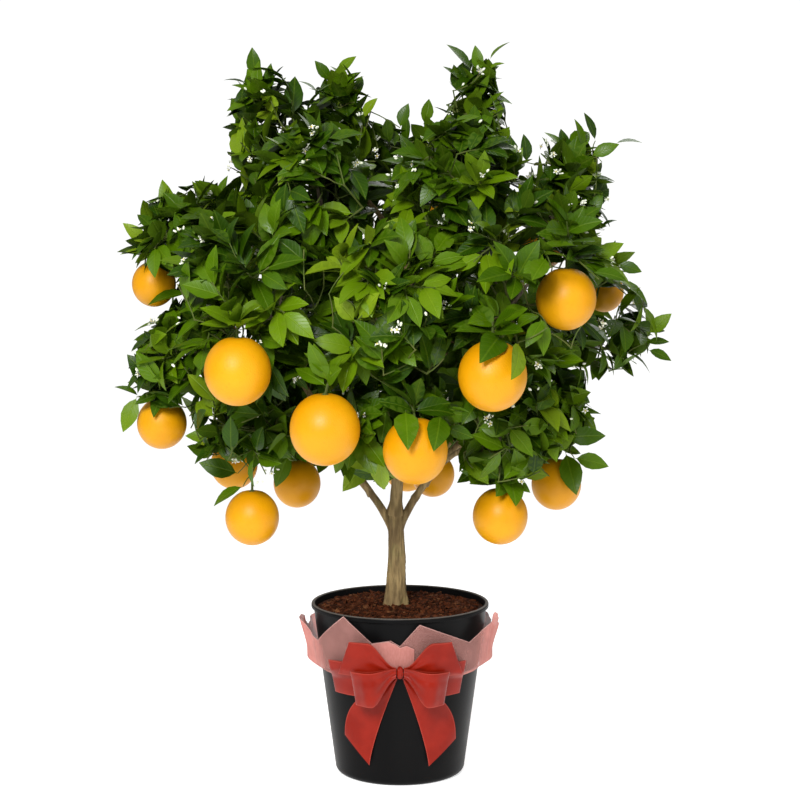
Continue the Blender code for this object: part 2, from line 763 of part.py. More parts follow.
def leaf_solid(length, matrix):
    """A leaf of four faces: a cone of three sides drawn out to a pointed blade, folded along its midrib."""
    bm = bmesh.new()
    bmesh.ops.create_cone(bm, cap_ends=True, segments=3, radius1=1.0, radius2=0.0, depth=2.0)
    for vertex in bm.verts:
        vertex.co = leaf_corner(vertex.co, length)
    bmesh.ops.recalc_face_normals(bm, faces=bm.faces)
    bmesh.ops.transform(bm, matrix=matrix, verts=bm.verts)
    return bm


def random_leaf(nodes, twigs, rng):
    """A leaf's length, root and axes: it springs from a twig, mostly near its end, and turns to the light."""
    lengths = [float(np.linalg.norm(nodes[i][0] - nodes[nodes[i][1]][0])) for i in twigs]
    number = rng.choices(twigs, lengths)[0]
    end, start = nodes[number][0], nodes[nodes[number][1]][0]
    near = min(LEAF_NEAREST_JOINT / float(np.linalg.norm(end - start)), 0.4)
    root = start + (end - start) * (1 - near - (1 - 2 * near) * rng.random() ** LEAF_TO_TIP)
    outward = unit(root - CROWN_MIDDLE)
    ahead, side, up = facing(end - start, np.array((0.1, 0.2, 1.0)))
    turn = rng.uniform(0, 2 * math.pi)
    angle = rng.uniform(*LEAF_ANGLE)
    direction = ahead * math.cos(angle) + (side * math.cos(turn) + up * math.sin(turn)) * math.sin(angle)
    hint = outward * LEAF_FACES_OUT + np.array((0, 0, LEAF_FACES_UP))
    hint = hint + random_direction(rng) * LEAF_UNEVENNESS
    return rng.uniform(*LEAF_LENGTH), root, facing(direction + outward * LEAF_OUTWARD, hint)


def add_leaves(crown, name, nodes, taken, rng, collection):
    """Leaves at even gaps: each is the roomiest of many random ones that stay clear of all else there."""
    twigs = list(range(2, len(nodes)))
    ways = [(nodes[nodes[i][1]][0], nodes[i][0]) for i in twigs]
    wood = limb_segments([(way, (TWIG_RADIUS, TWIG_RADIUS)) for way in ways])
    count = 0
    for _ in range(LEAVES_PER_MASS):
        fitting = []
        for _ in range(LEAF_TRIES):
            length, root, axes = random_leaf(nodes, twigs, rng)
            points = leaf_points(length) @ np.array(axes) + root
            blade = points[np.linalg.norm(points - root, axis=1) > ROOT_CLEARANCE]
            if not crown.holds(name, points) or crown.touches(name, blade, LEAF_CLEARANCE):
                continue
            if (gaps_to_segments(blade, wood) < LEAF_CLEARANCE).any():
                continue
            middle = points.mean(axis=0)
            room = min((float(np.linalg.norm(middle - other)) for other in crown.blades), default=1.0)
            outside = float(np.linalg.norm(middle - CROWN_MIDDLE))
            fitting.append((room + OUTSIDE_PULL * outside, len(fitting), middle, length, placed(*axes, root)))
        for _, _, middle, length, matrix in sorted(fitting, key=lambda leaf: -leaf[0]):
            bm = leaf_solid(length, matrix)
            shape = BVHTree.FromBMesh(bm)
            if any(shape.overlap(other) for other in taken):
                bm.free()
                continue
            object_from_bmesh("leaf", bm, collection)
            taken.append(shape)
            crown.blades.append(middle)
            count += 1
            break
    return count


def add_blossom(crown, name, nodes, taken, rng, collection):
    """A cluster of blossom at the end of one shoot, told by an eight-faced bud."""
    ends = free_ends(nodes)
    rng.shuffle(ends)
    for number in ends:
        end, start = nodes[number][0], nodes[nodes[number][1]][0]
        middle = end + unit(end - start) * BLOSSOM_RADIUS * BLOSSOM_SINK
        if not crown.holds(name, middle[None], BLOSSOM_RADIUS):
            continue
        if crown.touches(name, middle[None], BLOSSOM_RADIUS):
            continue
        bm = bmesh.new()
        bmesh.ops.create_uvsphere(bm, u_segments=4, v_segments=2, radius=BLOSSOM_RADIUS)
        bmesh.ops.translate(bm, verts=bm.verts, vec=Vector(middle))
        taken.append(BVHTree.FromBMesh(bm))
        object_from_bmesh("blossom", bm, collection)
        return [(middle, BLOSSOM_RADIUS)]
    return []


def add_fruit(crown, name, collection):
    """The mass's fruits, each on a stalk sunk in its crown end."""
    made = []
    rows = zip(crown.fruit_middles, crown.fruit_radii, crown.anchors, crown.owners)
    for place, radius, anchor, owner in rows:
        if owner != name:
            continue
        top = place + np.array((0, 0, radius * FRUIT_TALLNESS * STALK_SINK))
        prism(anchor, top, STALK_RADIUS, STALK_RADIUS, collection)
        object_from_bmesh("fruit", fruit_ball(place, radius), collection)
        made.append((place, radius))
    return made


def keep_largest(obj):
    """Drops any loose scrap that a cut or a join left, and keeps the largest body."""
    bm = bmesh.new()
    bm.from_mesh(obj.data)
    left, bodies = set(bm.verts), []
    while left:
        stack, body = [left.pop()], []
        while stack:
            vertex = stack.pop()
            body.append(vertex)
            for edge in vertex.link_edges:
                other = edge.other_vert(vertex)
                if other in left:
                    left.remove(other)
                    stack.append(other)
        bodies.append(body)
    bodies.sort(key=len)
    for body in bodies[:-1]:
        bmesh.ops.delete(bm, geom=body, context="VERTS")
    bmesh.ops.triangulate(bm, faces=bm.faces)
    bm.to_mesh(obj.data)
    bm.free()
    return len(bodies)


def fused(name, base, pieces, collection):
    """Joins the base with every object of a collection, then removes them."""
    union = base.modifiers.new("Join", "BOOLEAN")
    union.operation = "UNION"
    union.solver = "EXACT"
    union.operand_type = "COLLECTION"
    union.collection = pieces
    solid = bpy.data.objects.new(name, baked(base))
    collection.objects.link(solid)
    for obj in [base, *pieces.objects]:
        bpy.data.objects.remove(obj, do_unlink=True)
    bpy.data.collections.remove(pieces)
    return solid


def colour_faces(obj, materials, blossoms, fruits):
    """Gives the fused mass the colours of leaf, blossom and fruit by where each face lies."""
    for material in materials:
        obj.data.materials.append(material)
    for polygon in obj.data.polygons:
        middle = np.array(polygon.center)
        polygon.material_index = 0
        if any(np.linalg.norm(middle - place) < radius for place, radius in blossoms):
            polygon.material_index = 1
        if any(np.linalg.norm(middle - place) < radius * FRUIT_TALLNESS for place, radius in fruits):
            polygon.material_index = 2


def make_mass(crown, name, bough, limbs, collection, materials):
    """One mass of foliage, grown from a stem that meets its bough's tip."""
    rng = random.Random(name)
    points, _ = limbs[bough]
    heading = unit(points[-1] - points[-2])
    nodes = grow(crown, name, points[-1] + heading * SEAT_GAP, heading, rng)
    thickness = twig_radii(nodes)
    pieces = new_collection(f"pieces_{name}")
    stem = prism(nodes[0][0], nodes[1][0], BOUGH_TIP_RADIUS, BOUGH_TIP_RADIUS, collection, before=0.0)
    for number in range(2, len(nodes)):
        end, parent, _ = nodes[number]
        prism(nodes[parent][0], end, thickness[parent], thickness[number], pieces)
    taken = list(crown.shapes)
    blossoms = add_blossom(crown, name, nodes, taken, rng, pieces)
    leaves = add_leaves(crown, name, nodes, taken, rng, pieces)
    fruits = add_fruit(crown, name, pieces)
    mass = fused(f"foliage_{name}", stem, pieces, collection)
    bodies = keep_largest(mass)
    colour_faces(mass, materials, blossoms, fruits)
    print(f"{name}: {len(nodes) - 1} twigs, {leaves} leaves, {len(fruits)} fruits, {bodies} bodies,"
          f" {len(mass.data.polygons)} triangles")


# The wrap and the bow

def wrap_edges(angle):
    """The heights of the wrap's tied lower edge and of its crest, and how far the crest leans out, at
    degrees from the front."""
    rows = list(WRAP_CREST) + [(180, *WRAP_CREST[0][1:])]
    crest = interpolate([(row[0], row[1]) for row in rows], angle)
    lean = interpolate([(row[0], row[2]) for row in rows], angle)
    front = 1 - ease(abs(angle) / WRAP_TIE_SPREAD)
    tie = WRAP_TIE_BACK + (WRAP_TIE_FRONT - WRAP_TIE_BACK) * front
    return tie, crest, lean


def wrap_point(angle, share):
    """A point of the wrap's sheet: it is tied close to the wall below and leans out above."""
    tie, crest, lean = wrap_edges(angle)
    height = tie + (crest - tie) * share
    radius = wall_radius(height) + WRAP_STANDOFF + WRAP_THICKNESS / 2 + lean * ease(share * WRAP_FULLNESS)
    turn = math.radians(angle)
    return Vector((radius * math.sin(turn), -radius * math.cos(turn), height))


def grid_sheet(name, rows, closed, thickness, collection, material):
    """A sheet through rows of points, given its thickness by a Solidify modifier."""
    bm = bmesh.new()
    grid = [[bm.verts.new(point) for point in row] for row in rows]
    columns = len(rows[0])
    for lower, upper in zip(grid, grid[1:]):
        for i in range(columns if closed else columns - 1):
            j = (i + 1) % columns
            bm.faces.new((lower[i], lower[j], upper[j], upper[i]))
    sheet = object_from_bmesh(name, bm, collection, material)
    solidify = sheet.modifiers.new("Cloth", "SOLIDIFY")
    solidify.thickness = thickness
    solidify.offset = 0.0
    sheet.data = baked(sheet)
    sheet.modifiers.clear()
    sheet.data.shade_smooth()
    return sheet


def make_wrap(collection, material):
    angles = [-180 + 360 * i / WRAP_COLUMNS for i in range(WRAP_COLUMNS)]
    rows = [[wrap_point(angle, share) for angle in angles] for share in WRAP_SHARES]
    return grid_sheet("wrap", rows, True, WRAP_THICKNESS, collection, material)


def bow_point(across, height, clearance):
    """A point of the bow, sideways from its middle, that stands off the wall and the wrap by a clearance."""
    radius = wall_radius(height) + BOW_STANDOFF + clearance
    tie, crest, lean = wrap_edges(math.degrees(math.asin(across / radius)))
    share = (height - tie) / (crest - tie)
    radius += lean * min(max(share * BOW_OVER_WRAP, 0.0), 1.0)
    return Vector((across, -math.sqrt(radius * radius - across * across), height))


def make_knot(collection, material):
    """The knot is a rounded block that leans with the wall."""
    bpy.ops.mesh.primitive_cube_add(size=1.0, location=(0, 0, 0))
    knot = bpy.context.active_object
    knot.name = "bow_knot"
    for owner in list(knot.users_collection):
        owner.objects.unlink(knot)
    collection.objects.link(knot)
    knot.data.transform(Matrix.Diagonal((*KNOT_SIZE, 1.0)))
    bevel = knot.modifiers.new("Round", "BEVEL")
    bevel.width = KNOT_ROUNDING
    bevel.segments = 1
    knot.data = baked(knot)
    knot.modifiers.clear()
    for vertex in knot.data.vertices:
        across, depth, up = vertex.co
        vertex.co = bow_point(across, KNOT_HEIGHT + up, KNOT_BACK + KNOT_SIZE[1] / 2 - depth)
    knot.data.materials.append(material)


def loop_rows(side, reach, slant, rise, pinch, lift, depth):
    """A ribbon loop: out from the knot close to the wall, round its far end and back in front of itself."""
    rows = []
    knot_side = KNOT_SIZE[0] / 2 + SEAT_GAP
    for number in range(LOOP_STATIONS + 1):
        swing = math.pi * (number / LOOP_STATIONS - 0.5)
        out = max(math.cos(swing), 0.0) ** LOOP_ROUNDNESS
        front = 0.5 + 0.5 * math.sin(swing)
        opened = ease(out * LOOP_OPENS_BY)
        wide = RIBBON_PINCH + (RIBBON_WIDTH - RIBBON_PINCH) * opened
        apart = RIBBON_PASS_GAP + (depth - RIBBON_PASS_GAP) * opened
        clearance = pinch + lift * opened + front * apart
        middle = KNOT_HEIGHT + rise * opened
        row = []
        for edge in (-0.5, 0.0, 0.5):
            across = knot_side + (reach * (1 + slant * edge) - knot_side) * out
            row.append(bow_point(side * across, middle + edge * wide, clearance))
        rows.append(row)
    return rows


def make_loops(collection, material):
    for name, (left, right, *sizes) in LOOPS.items():
        for side, hand, reach in ((-1, "left", left), (1, "right", right)):
            rows = loop_rows(side, reach, *sizes)
            grid_sheet(f"{name}_{hand}", rows, False, RIBBON_THICKNESS, collection, material)


def tail_rows(side, inner_end, outer_end):
    """A ribbon tail that leaves from under the knot, splays out and falls, its end cut on the slant."""
    rows = []
    top = KNOT_HEIGHT - KNOT_SIZE[2] / 2 - SEAT_GAP
    for number in range(TAIL_STATIONS + 1):
        fallen = number / TAIL_STATIONS
        clearance = TAIL_NEAR + TAIL_BILLOW * ease((fallen - TAIL_BILLOW_STARTS) * 2)
        edges = []
        for start, (end, low), bend in zip(TAIL_START, (inner_end, outer_end), TAIL_BENDS):
            across = start + (end - start) * (1 - (1 - fallen) ** bend)
            edges.append((across, top + (low - top) * fallen))
        (inner, inner_height), (outer, outer_height) = edges
        middle = ((inner + outer) / 2, (inner_height + outer_height) / 2)
        row = [bow_point(side * across, height, clearance) for across, height in (edges[0], middle, edges[1])]
        rows.append(row)
    return rows


def make_tails(collection, material):
    for name, (side, *sizes) in TAILS.items():
        grid_sheet(name, tail_rows(side, *sizes), False, RIBBON_THICKNESS, collection, material)


def main():
    clear_scene()
    tree = new_collection("potted_lemon_tree")
    cutters = new_collection("cutters")
    plastic = new_material("pot_plastic", (0.012, 0.012, 0.013), 0.42)
    bark_mulch = new_material("bark_mulch", (0.085, 0.030, 0.016), 0.9)
    bark = new_material("bark", (0.22, 0.155, 0.085), 0.8)
    leaf = new_material("leaf", (0.060, 0.170, 0.015), 0.4)
    blossom = new_material("blossom", (0.85, 0.85, 0.78), 0.6)
    fruit = new_material("fruit", (0.93, 0.42, 0.02), 0.38)
    wrap_cloth = new_material("wrap_cloth", (0.78, 0.30, 0.29), 0.8)
    ribbon = new_material("ribbon", (0.48, 0.028, 0.018), 0.4)
    make_pot(tree, cutters, plastic)
    make_mulch(tree, bark_mulch)
    make_trunk(tree, bark)
    limbs = all_limbs()
    make_boughs(limbs, tree, cutters, bark)
    crown = Crown(limbs)
    for bough, (*_, mass) in BOUGHS.items():
        make_mass(crown, mass, bough, limbs, tree, (leaf, blossom, fruit))
    make_wrap(tree, wrap_cloth)
    make_knot(tree, ribbon)
    make_loops(tree, ribbon)
    make_tails(tree, ribbon)


main()
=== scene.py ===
# %% [markdown]
# # A lemon tree in a pot, dressed as a gift
#
# The photo shows a young citrus tree: a short clear trunk that forks into boughs, a dense round crown of
# glossy leaves with small white blossom, and large golden fruit that hang round its lower half. It stands
# in a satin black pot filled with bark mulch, with a sheer pink cloth tied round it and a red satin bow.
#
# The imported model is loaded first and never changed. It is the frame: every piece that is made below has
# its place in the same metres, with the origin under the middle of the pot and the bow towards -Y.

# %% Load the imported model
import math
import random

import bpy
import numpy as np
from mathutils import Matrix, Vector, noise


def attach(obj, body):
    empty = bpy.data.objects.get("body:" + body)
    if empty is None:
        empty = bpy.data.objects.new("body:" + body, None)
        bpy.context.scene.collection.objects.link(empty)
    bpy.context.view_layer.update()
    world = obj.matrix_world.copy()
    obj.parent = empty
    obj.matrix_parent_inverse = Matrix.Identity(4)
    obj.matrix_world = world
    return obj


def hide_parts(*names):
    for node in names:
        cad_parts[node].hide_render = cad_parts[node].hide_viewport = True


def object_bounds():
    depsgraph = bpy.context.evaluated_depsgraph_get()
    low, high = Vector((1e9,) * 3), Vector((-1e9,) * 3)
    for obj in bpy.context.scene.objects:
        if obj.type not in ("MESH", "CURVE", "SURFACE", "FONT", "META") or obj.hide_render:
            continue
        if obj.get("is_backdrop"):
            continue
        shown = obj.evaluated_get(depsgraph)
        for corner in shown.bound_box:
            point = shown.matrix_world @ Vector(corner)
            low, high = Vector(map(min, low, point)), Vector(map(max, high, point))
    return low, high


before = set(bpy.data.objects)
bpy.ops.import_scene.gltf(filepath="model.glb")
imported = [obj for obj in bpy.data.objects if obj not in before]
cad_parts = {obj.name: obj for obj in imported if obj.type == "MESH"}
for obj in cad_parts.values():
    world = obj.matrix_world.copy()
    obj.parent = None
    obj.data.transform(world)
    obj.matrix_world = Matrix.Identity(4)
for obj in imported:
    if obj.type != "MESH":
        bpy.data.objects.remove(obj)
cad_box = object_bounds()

print("frame:", len(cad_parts), "nodes, box", np.round(cad_box, 3).tolist())

# %% [markdown]
# ## The camera and the light
#
# The photo was taken from a little above the middle of the crown, with a long lens, looking slightly down.
# The lens is worked out from how many pixels a metre covers at the trunk. The light is that of a white
# studio: one large soft lamp above the camera, a weaker one on the right and one behind. The backdrop is
# pure white, but it lights the tree only weakly, so the inside of the crown falls into deep shade.

# %% Camera
PHOTO_PIXELS = 800.0
FOCAL_PIXELS = 1874.0
SENSOR_WIDTH = 36.0
CAMERA_PLACE = (0.0, -2.4, 0.7023)
CAMERA_PITCH_DOWN = 0.0907

camera_data = bpy.data.cameras.new("photo_camera")
camera_data.sensor_width = SENSOR_WIDTH
camera_data.lens = SENSOR_WIDTH * FOCAL_PIXELS / PHOTO_PIXELS
camera = bpy.data.objects.new("photo_camera", camera_data)
camera.location = CAMERA_PLACE
camera.rotation_euler = (math.pi / 2 - CAMERA_PITCH_DOWN, 0.0, 0.0)
bpy.context.scene.collection.objects.link(camera)
bpy.context.scene.camera = camera
print("lens:", round(camera_data.lens, 1), "mm")

# %% Lamps, world and floor
LAMPS = {
    "key_lamp": ((-0.70, -2.6, 1.8), 0.9, 92.0),
    "fill_lamp": ((2.0, -1.9, 1.0), 1.6, 12.0),
    "back_lamp": ((0.9, 2.2, 2.2), 1.5, 26.0),
}
LAMP_AIM = Vector((0.0, 0.0, 0.45))
BACKDROP_BRIGHTNESS = 1.05
BACKDROP_LIGHT = 0.34
FLOOR_HALF_SIZE = 1.8
FLOOR_GLOW = 0.64

for name, (place, size, power) in LAMPS.items():
    lamp_data = bpy.data.lights.new(name, "AREA")
    lamp_data.size = size
    lamp_data.energy = power
    lamp = bpy.data.objects.new(name, lamp_data)
    lamp.location = place
    lamp.rotation_euler = (LAMP_AIM - Vector(place)).to_track_quat("-Z", "Y").to_euler()
    bpy.context.scene.collection.objects.link(lamp)

world = bpy.data.worlds.new("white_studio")
world.use_nodes = True
backdrop = world.node_tree.nodes["Background"]
backdrop.inputs["Color"].default_value = (1.0, 1.0, 1.0, 1.0)
ray = world.node_tree.nodes.new("ShaderNodeLightPath")
strength = world.node_tree.nodes.new("ShaderNodeMapRange")
strength.inputs["To Min"].default_value = BACKDROP_LIGHT
strength.inputs["To Max"].default_value = BACKDROP_BRIGHTNESS
world.node_tree.links.new(ray.outputs["Is Camera Ray"], strength.inputs["Value"])
world.node_tree.links.new(strength.outputs["Result"], backdrop.inputs["Strength"])
bpy.context.scene.world = world
bpy.context.scene.view_settings.view_transform = "Standard"
print("lamps:", len(LAMPS))

# %% [markdown]
# ## Helpers for meshes
#
# Most pieces here are worked out as arrays of points and triangles, because a crown has thousands of alike
# leaves and an array is the quickest way to place them. Helpers turn such arrays into a Blender mesh with
# its faces pointing outwards, hang the piece on the frame's root body and hide the nodes of the imported
# model that it stands for.

# %% Sums that come back
UP = np.array((0.0, 0.0, 1.0))
NEARLY_UP = np.array((0.1, 0.2, 1.0))
TINY = 1e-9


def distance(one, other):
    return float(np.linalg.norm(one - other))


def unit(vector):
    return vector / max(float(np.linalg.norm(vector)), TINY)


def ease(amount):
    """A smooth step from 0 to 1, flat at both ends."""
    amount = np.clip(amount, 0.0, 1.0)
    return amount * amount * (3 - 2 * amount)


def interpolate(table, at, column=1):
    """The value at a place in a table whose rows start with their place."""
    return float(np.interp(at, [row[0] for row in table], [row[column] for row in table]))


def path_length(points):
    return float(np.linalg.norm(np.diff(points, axis=0), axis=1).sum())


def unit_rows(vectors):
    return vectors / np.linalg.norm(vectors, axis=1)[:, None]


def full_turn(sides):
    """Angles spread evenly round one turn."""
    return np.linspace(0, 2 * np.pi, sides, endpoint=False)


# %% From arrays to pieces
def grid_quads(rows, columns, closed=True):
    """The quads between the points of a grid, row after row, joined round if it is closed."""
    here = np.arange(columns if closed else columns - 1)
    following = (here + 1) % columns
    strip = np.column_stack([here, following, following + columns, here + columns])
    return np.concatenate([strip + row * columns for row in range(rows - 1)])


def split_quads(quads):
    """Two triangles for each quad."""
    return np.concatenate([quads[:, [0, 1, 2]], quads[:, [0, 2, 3]]])


def repeated(triangles, size, count):
    """The triangles of one shape of size points, for count such shapes in a row."""
    return (triangles[None] + size * np.arange(count)[:, None, None]).reshape(-1, 3)


def join_arrays(parts):
    """One set of points and triangles from many."""
    starts = np.cumsum([0] + [len(points) for points, _ in parts])
    return (np.concatenate([points for points, _ in parts]),
            np.concatenate([triangles + start for (_, triangles), start in zip(parts, starts)]))


def turned_outward(points, triangles):
    """The triangles of a closed shape, reversed if they enclose a negative volume."""
    a, b, c = (points[triangles[:, corner]] for corner in range(3))
    volume = float(np.einsum("ij,ij->i", a, np.cross(b, c)).sum())
    return triangles if volume >= 0 else triangles[:, ::-1]


def add_object(name, mesh):
    obj = bpy.data.objects.new(name, mesh)
    bpy.context.scene.collection.objects.link(obj)
    return obj


def smooth(mesh, sharp_angle):
    mesh.shade_smooth()
    mesh.set_sharp_from_angle(angle=math.radians(sharp_angle))


def set_uv(mesh, corner_uv):
    layer = mesh.uv_layers.new(name="surface")
    layer.data.foreach_set("uv", np.asarray(corner_uv, dtype=np.float32).ravel())


def new_mesh(name, points, triangles, finish, corner_uv=None, sharp_angle=50):
    """An object of triangles, smooth but for edges sharper than the angle in degrees."""
    mesh = bpy.data.meshes.new(name)
    mesh.vertices.add(len(points))
    mesh.vertices.foreach_set("co", np.asarray(points, dtype=np.float32).ravel())
    mesh.loops.add(triangles.size)
    mesh.loops.foreach_set("vertex_index", triangles.ravel().astype(np.int32))
    mesh.polygons.add(len(triangles))
    mesh.polygons.foreach_set("loop_start", np.arange(0, triangles.size, 3, dtype=np.int32))
    mesh.update(calc_edges=True)
    if corner_uv is not None:
        set_uv(mesh, corner_uv)
    mesh.materials.append(finish)
    smooth(mesh, sharp_angle)
    return add_object(name, mesh)


def dress(obj, slot, *nodes):
    """Hands a finished piece to the frame."""
    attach(obj, "root")
    if nodes:
        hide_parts(*nodes)
    obj.data.calc_loop_triangles()
    print(f"{obj.name}: {len(obj.data.loop_triangles)} triangles")
    return obj


def apply_modifiers(obj):
    """Gives the object the plain mesh that its modifiers make, and drops them."""
    bpy.context.view_layer.update()
    graph = bpy.context.evaluated_depsgraph_get()
    obj.data = bpy.data.meshes.new_from_object(obj.evaluated_get(graph))
    obj.modifiers.clear()
    return obj


# %% Closed shapes of rings
def ring_solid(rings):
    """Points and triangles of a closed solid through rings of equal count, capped at both ends."""
    rings = np.asarray(rings)
    count, sides = rings.shape[:2]
    points = np.concatenate([rings.reshape(-1, 3), rings[[0, -1]].mean(axis=1)])
    here = np.arange(sides)
    following = (here + 1) % sides
    last = (count - 1) * sides
    foot = np.column_stack([following, here, np.full(sides, count * sides)])
    top = np.column_stack([last + here, last + following, np.full(sides, count * sides + 1)])
    triangles = np.concatenate([split_quads(grid_quads(count, sides)), foot, top])
    return points, turned_outward(points, triangles)


def level_ring(reach, height, sides):
    """A ring of points round the upright axis. Reach and height may differ from point to point."""
    turns = full_turn(sides)
    return np.column_stack([reach * np.cos(turns), reach * np.sin(turns), np.full(sides, height)])


def turned_rings(profile, sides):
    """A ring of points for each (radius, height) of a profile."""
    return np.array([level_ring(radius, height, sides) for radius, height in profile])


# %% [markdown]
# ## Helpers for finishes
#
# Every finish is one Principled shader whose colour, roughness and relief vary over the surface. Three
# effects come back in most of them, so each is a shader group built once and placed with its own values:
# soft patches from stretched noise, the fine pits of peel and moulded plastic, and a tint laid over a base
# colour by a mask. The groups give only masks, colours and normals. The shader stays in the material.

# %% Nodes in one call
def add_node(tree, kind, values=None, **settings):
    """A node with its settings and its inputs: a socket is linked and any other value is set."""
    node = tree.nodes.new(kind)
    for name, value in settings.items():
        setattr(node, name, value)
    for socket, value in (values or {}).items():
        if isinstance(value, bpy.types.NodeSocket):
            tree.links.new(value, node.inputs[socket])
        else:
            node.inputs[socket].default_value = value
    return node


def socket_kind(value):
    """The kind of socket that holds a value. A word names the kind itself, for a socket without a value."""
    if isinstance(value, str):
        return "NodeSocket" + value
    if isinstance(value, tuple):
        return "NodeSocketColor" if len(value) == 4 else "NodeSocketVector"
    return "NodeSocketInt" if isinstance(value, int) else "NodeSocketFloat"


def new_group(name, kind, inputs, outputs):
    """A node group with named sockets, and the sockets inside it."""
    group = bpy.data.node_groups.new(name, kind)
    for socket, value in inputs.items():
        made = group.interface.new_socket(name=socket, in_out="INPUT", socket_type=socket_kind(value))
        if not isinstance(value, str):
            made.default_value = value
    for socket, value in outputs.items():
        group.interface.new_socket(name=socket, in_out="OUTPUT", socket_type=socket_kind(value))
    return group, group.nodes.new("NodeGroupInput").outputs, group.nodes.new("NodeGroupOutput").inputs


# %% The shared shader groups
EVENLY = (1.0, 1.0, 1.0)


def build_patches():
    """A mask of soft patches from noise, as high and as sharp as told."""
    group, given, result = new_group(
        "patches", "ShaderNodeTree",
        {"Vector": "Vector", "Stretch": EVENLY, "Scale": 10.0, "Detail": 3.0, "Low": 0.35, "High": 0.65},
        {"Mask": "Float"})
    stretched = add_node(group, "ShaderNodeVectorMath", {0: given["Vector"], 1: given["Stretch"]},
                         operation="MULTIPLY")
    grain = add_node(group, "ShaderNodeTexNoise",
                     {"Vector": stretched.outputs[0], "Scale": given["Scale"], "Detail": given["Detail"]})
    spread = add_node(group, "ShaderNodeMapRange",
                      {"Value": grain.outputs["Fac"], "From Min": given["Low"], "From Max": given["High"]},
                      interpolation_type="SMOOTHSTEP")
    group.links.new(spread.outputs["Result"], result["Mask"])
    return group


def build_pits():
    """Small round pits: their mask and the normal they give the surface."""
    group, given, result = new_group(
        "pits", "ShaderNodeTree",
        {"Vector": "Vector", "Scale": 600.0, "Depth": 0.0001, "Strength": 0.5},
        {"Mask": "Float", "Normal": "Vector"})
    cells = add_node(group, "ShaderNodeTexVoronoi", {"Vector": given["Vector"], "Scale": given["Scale"]},
                     feature="SMOOTH_F1")
    pit = add_node(group, "ShaderNodeMapRange",
                   {"Value": cells.outputs["Distance"], "From Min": 0.12, "From Max": 0.42},
                   interpolation_type="SMOOTHSTEP")
    relief = add_node(group, "ShaderNodeBump", {"Height": pit.outputs["Result"], "Distance": given["Depth"],
                                                "Strength": given["Strength"]})
    group.links.new(pit.outputs["Result"], result["Mask"])
    group.links.new(relief.outputs["Normal"], result["Normal"])
    return group


def build_tint():
    """A colour laid over another by a mask."""
    group, given, result = new_group(
        "tint", "ShaderNodeTree",
        {"Base": (0.5, 0.5, 0.5, 1.0), "Over": (0.2, 0.2, 0.2, 1.0), "Mask": 0.5, "Amount": 1.0},
        {"Colour": "Color"})
    share = add_node(group, "ShaderNodeMath", {0: given["Mask"], 1: given["Amount"]}, operation="MULTIPLY")
    mixed = add_node(group, "ShaderNodeMix", {"Factor": share.outputs[0], 6: given["Base"], 7: given["Over"]},
                     data_type="RGBA")
    group.links.new(mixed.outputs[2], result["Colour"])
    return group


PATCHES = build_patches()
PITS = build_pits()
TINT = build_tint()


# %% One class to write a finish with
class Finish:
    """A Principled material, with a short call for each shared effect."""

    def __init__(self, name, constants):
        self.material = bpy.data.materials.new(name)
        self.material.use_nodes = True
        self.tree = self.material.node_tree
        self.shader = self.tree.nodes["Principled BSDF"]
        for socket, value in constants.items():
            self.shader.inputs[socket].default_value = value

    def node(self, kind, values=None, **settings):
        return add_node(self.tree, kind, values, **settings)

    def effect(self, tree, values, output):
        return self.node("ShaderNodeGroup", values, node_tree=tree).outputs[output]

    def place(self):
        return self.node("ShaderNodeTexCoord").outputs["Object"]

    def surface(self):
        """The piece's own UV map as separate values: along and across."""
        uv = self.node("ShaderNodeUVMap", uv_map="surface")
        parts = self.node("ShaderNodeSeparateXYZ", {0: uv.outputs["UV"]})
        return parts.outputs[0], parts.outputs[1]

    def patches(self, scale, low=0.35, high=0.65, stretch=EVENLY, detail=3.0):
        return self.effect(PATCHES, {"Vector": self.place(), "Stretch": stretch, "Scale": scale,
                                     "Detail": detail, "Low": low, "High": high}, "Mask")

    def tint(self, base, over, mask, amount=1.0):
        base = (*base, 1.0) if isinstance(base, tuple) else base
        return self.effect(TINT, {"Base": base, "Over": (*over, 1.0), "Mask": mask, "Amount": amount},
                           "Colour")

    def math(self, operation, first, second=0.0):
        return self.node("ShaderNodeMath", {0: first, 1: second}, operation=operation).outputs[0]

    def pits(self, scale, depth, strength):
        return self.effect(PITS, {"Vector": self.place(), "Scale": scale, "Depth": depth,
                                  "Strength": strength}, "Normal")

    def ramp(self, value, from_low, from_high, to_low=0.0, to_high=1.0):
        return self.node("ShaderNodeMapRange", {"Value": value, "From Min": from_low, "From Max": from_high,
                                                "To Min": to_low, "To Max": to_high}).outputs["Result"]

    def range(self, mask, low, high):
        """A mask carried over to another range of values."""
        return self.ramp(mask, 0.0, 1.0, low, high)

    def bump(self, height, distance, strength=1.0):
        return self.node("ShaderNodeBump", {"Height": height, "Distance": distance,
                                            "Strength": strength}).outputs["Normal"]

    def into(self, **sockets):
        """Links outputs to the shader: colour, roughness, normal or alpha."""
        names = {"colour": "Base Color", "roughness": "Roughness", "normal": "Normal", "alpha": "Alpha"}
        for socket, output in sockets.items():
            self.tree.links.new(output, self.shader.inputs[names[socket]])
        return self.material


# %% The floor's finish and the floor
def floor_finish():
    finish = Finish("pale_floor", {"Specular IOR Level": 0.1, "Emission Color": (1.0, 1.0, 1.0, 1.0),
                                   "Emission Strength": FLOOR_GLOW})
    haze = finish.patches(1.2, 0.3, 0.7)
    return finish.into(colour=finish.tint((0.93, 0.93, 0.93), (0.90, 0.90, 0.90), haze),
                       roughness=finish.range(haze, 0.8, 0.9))


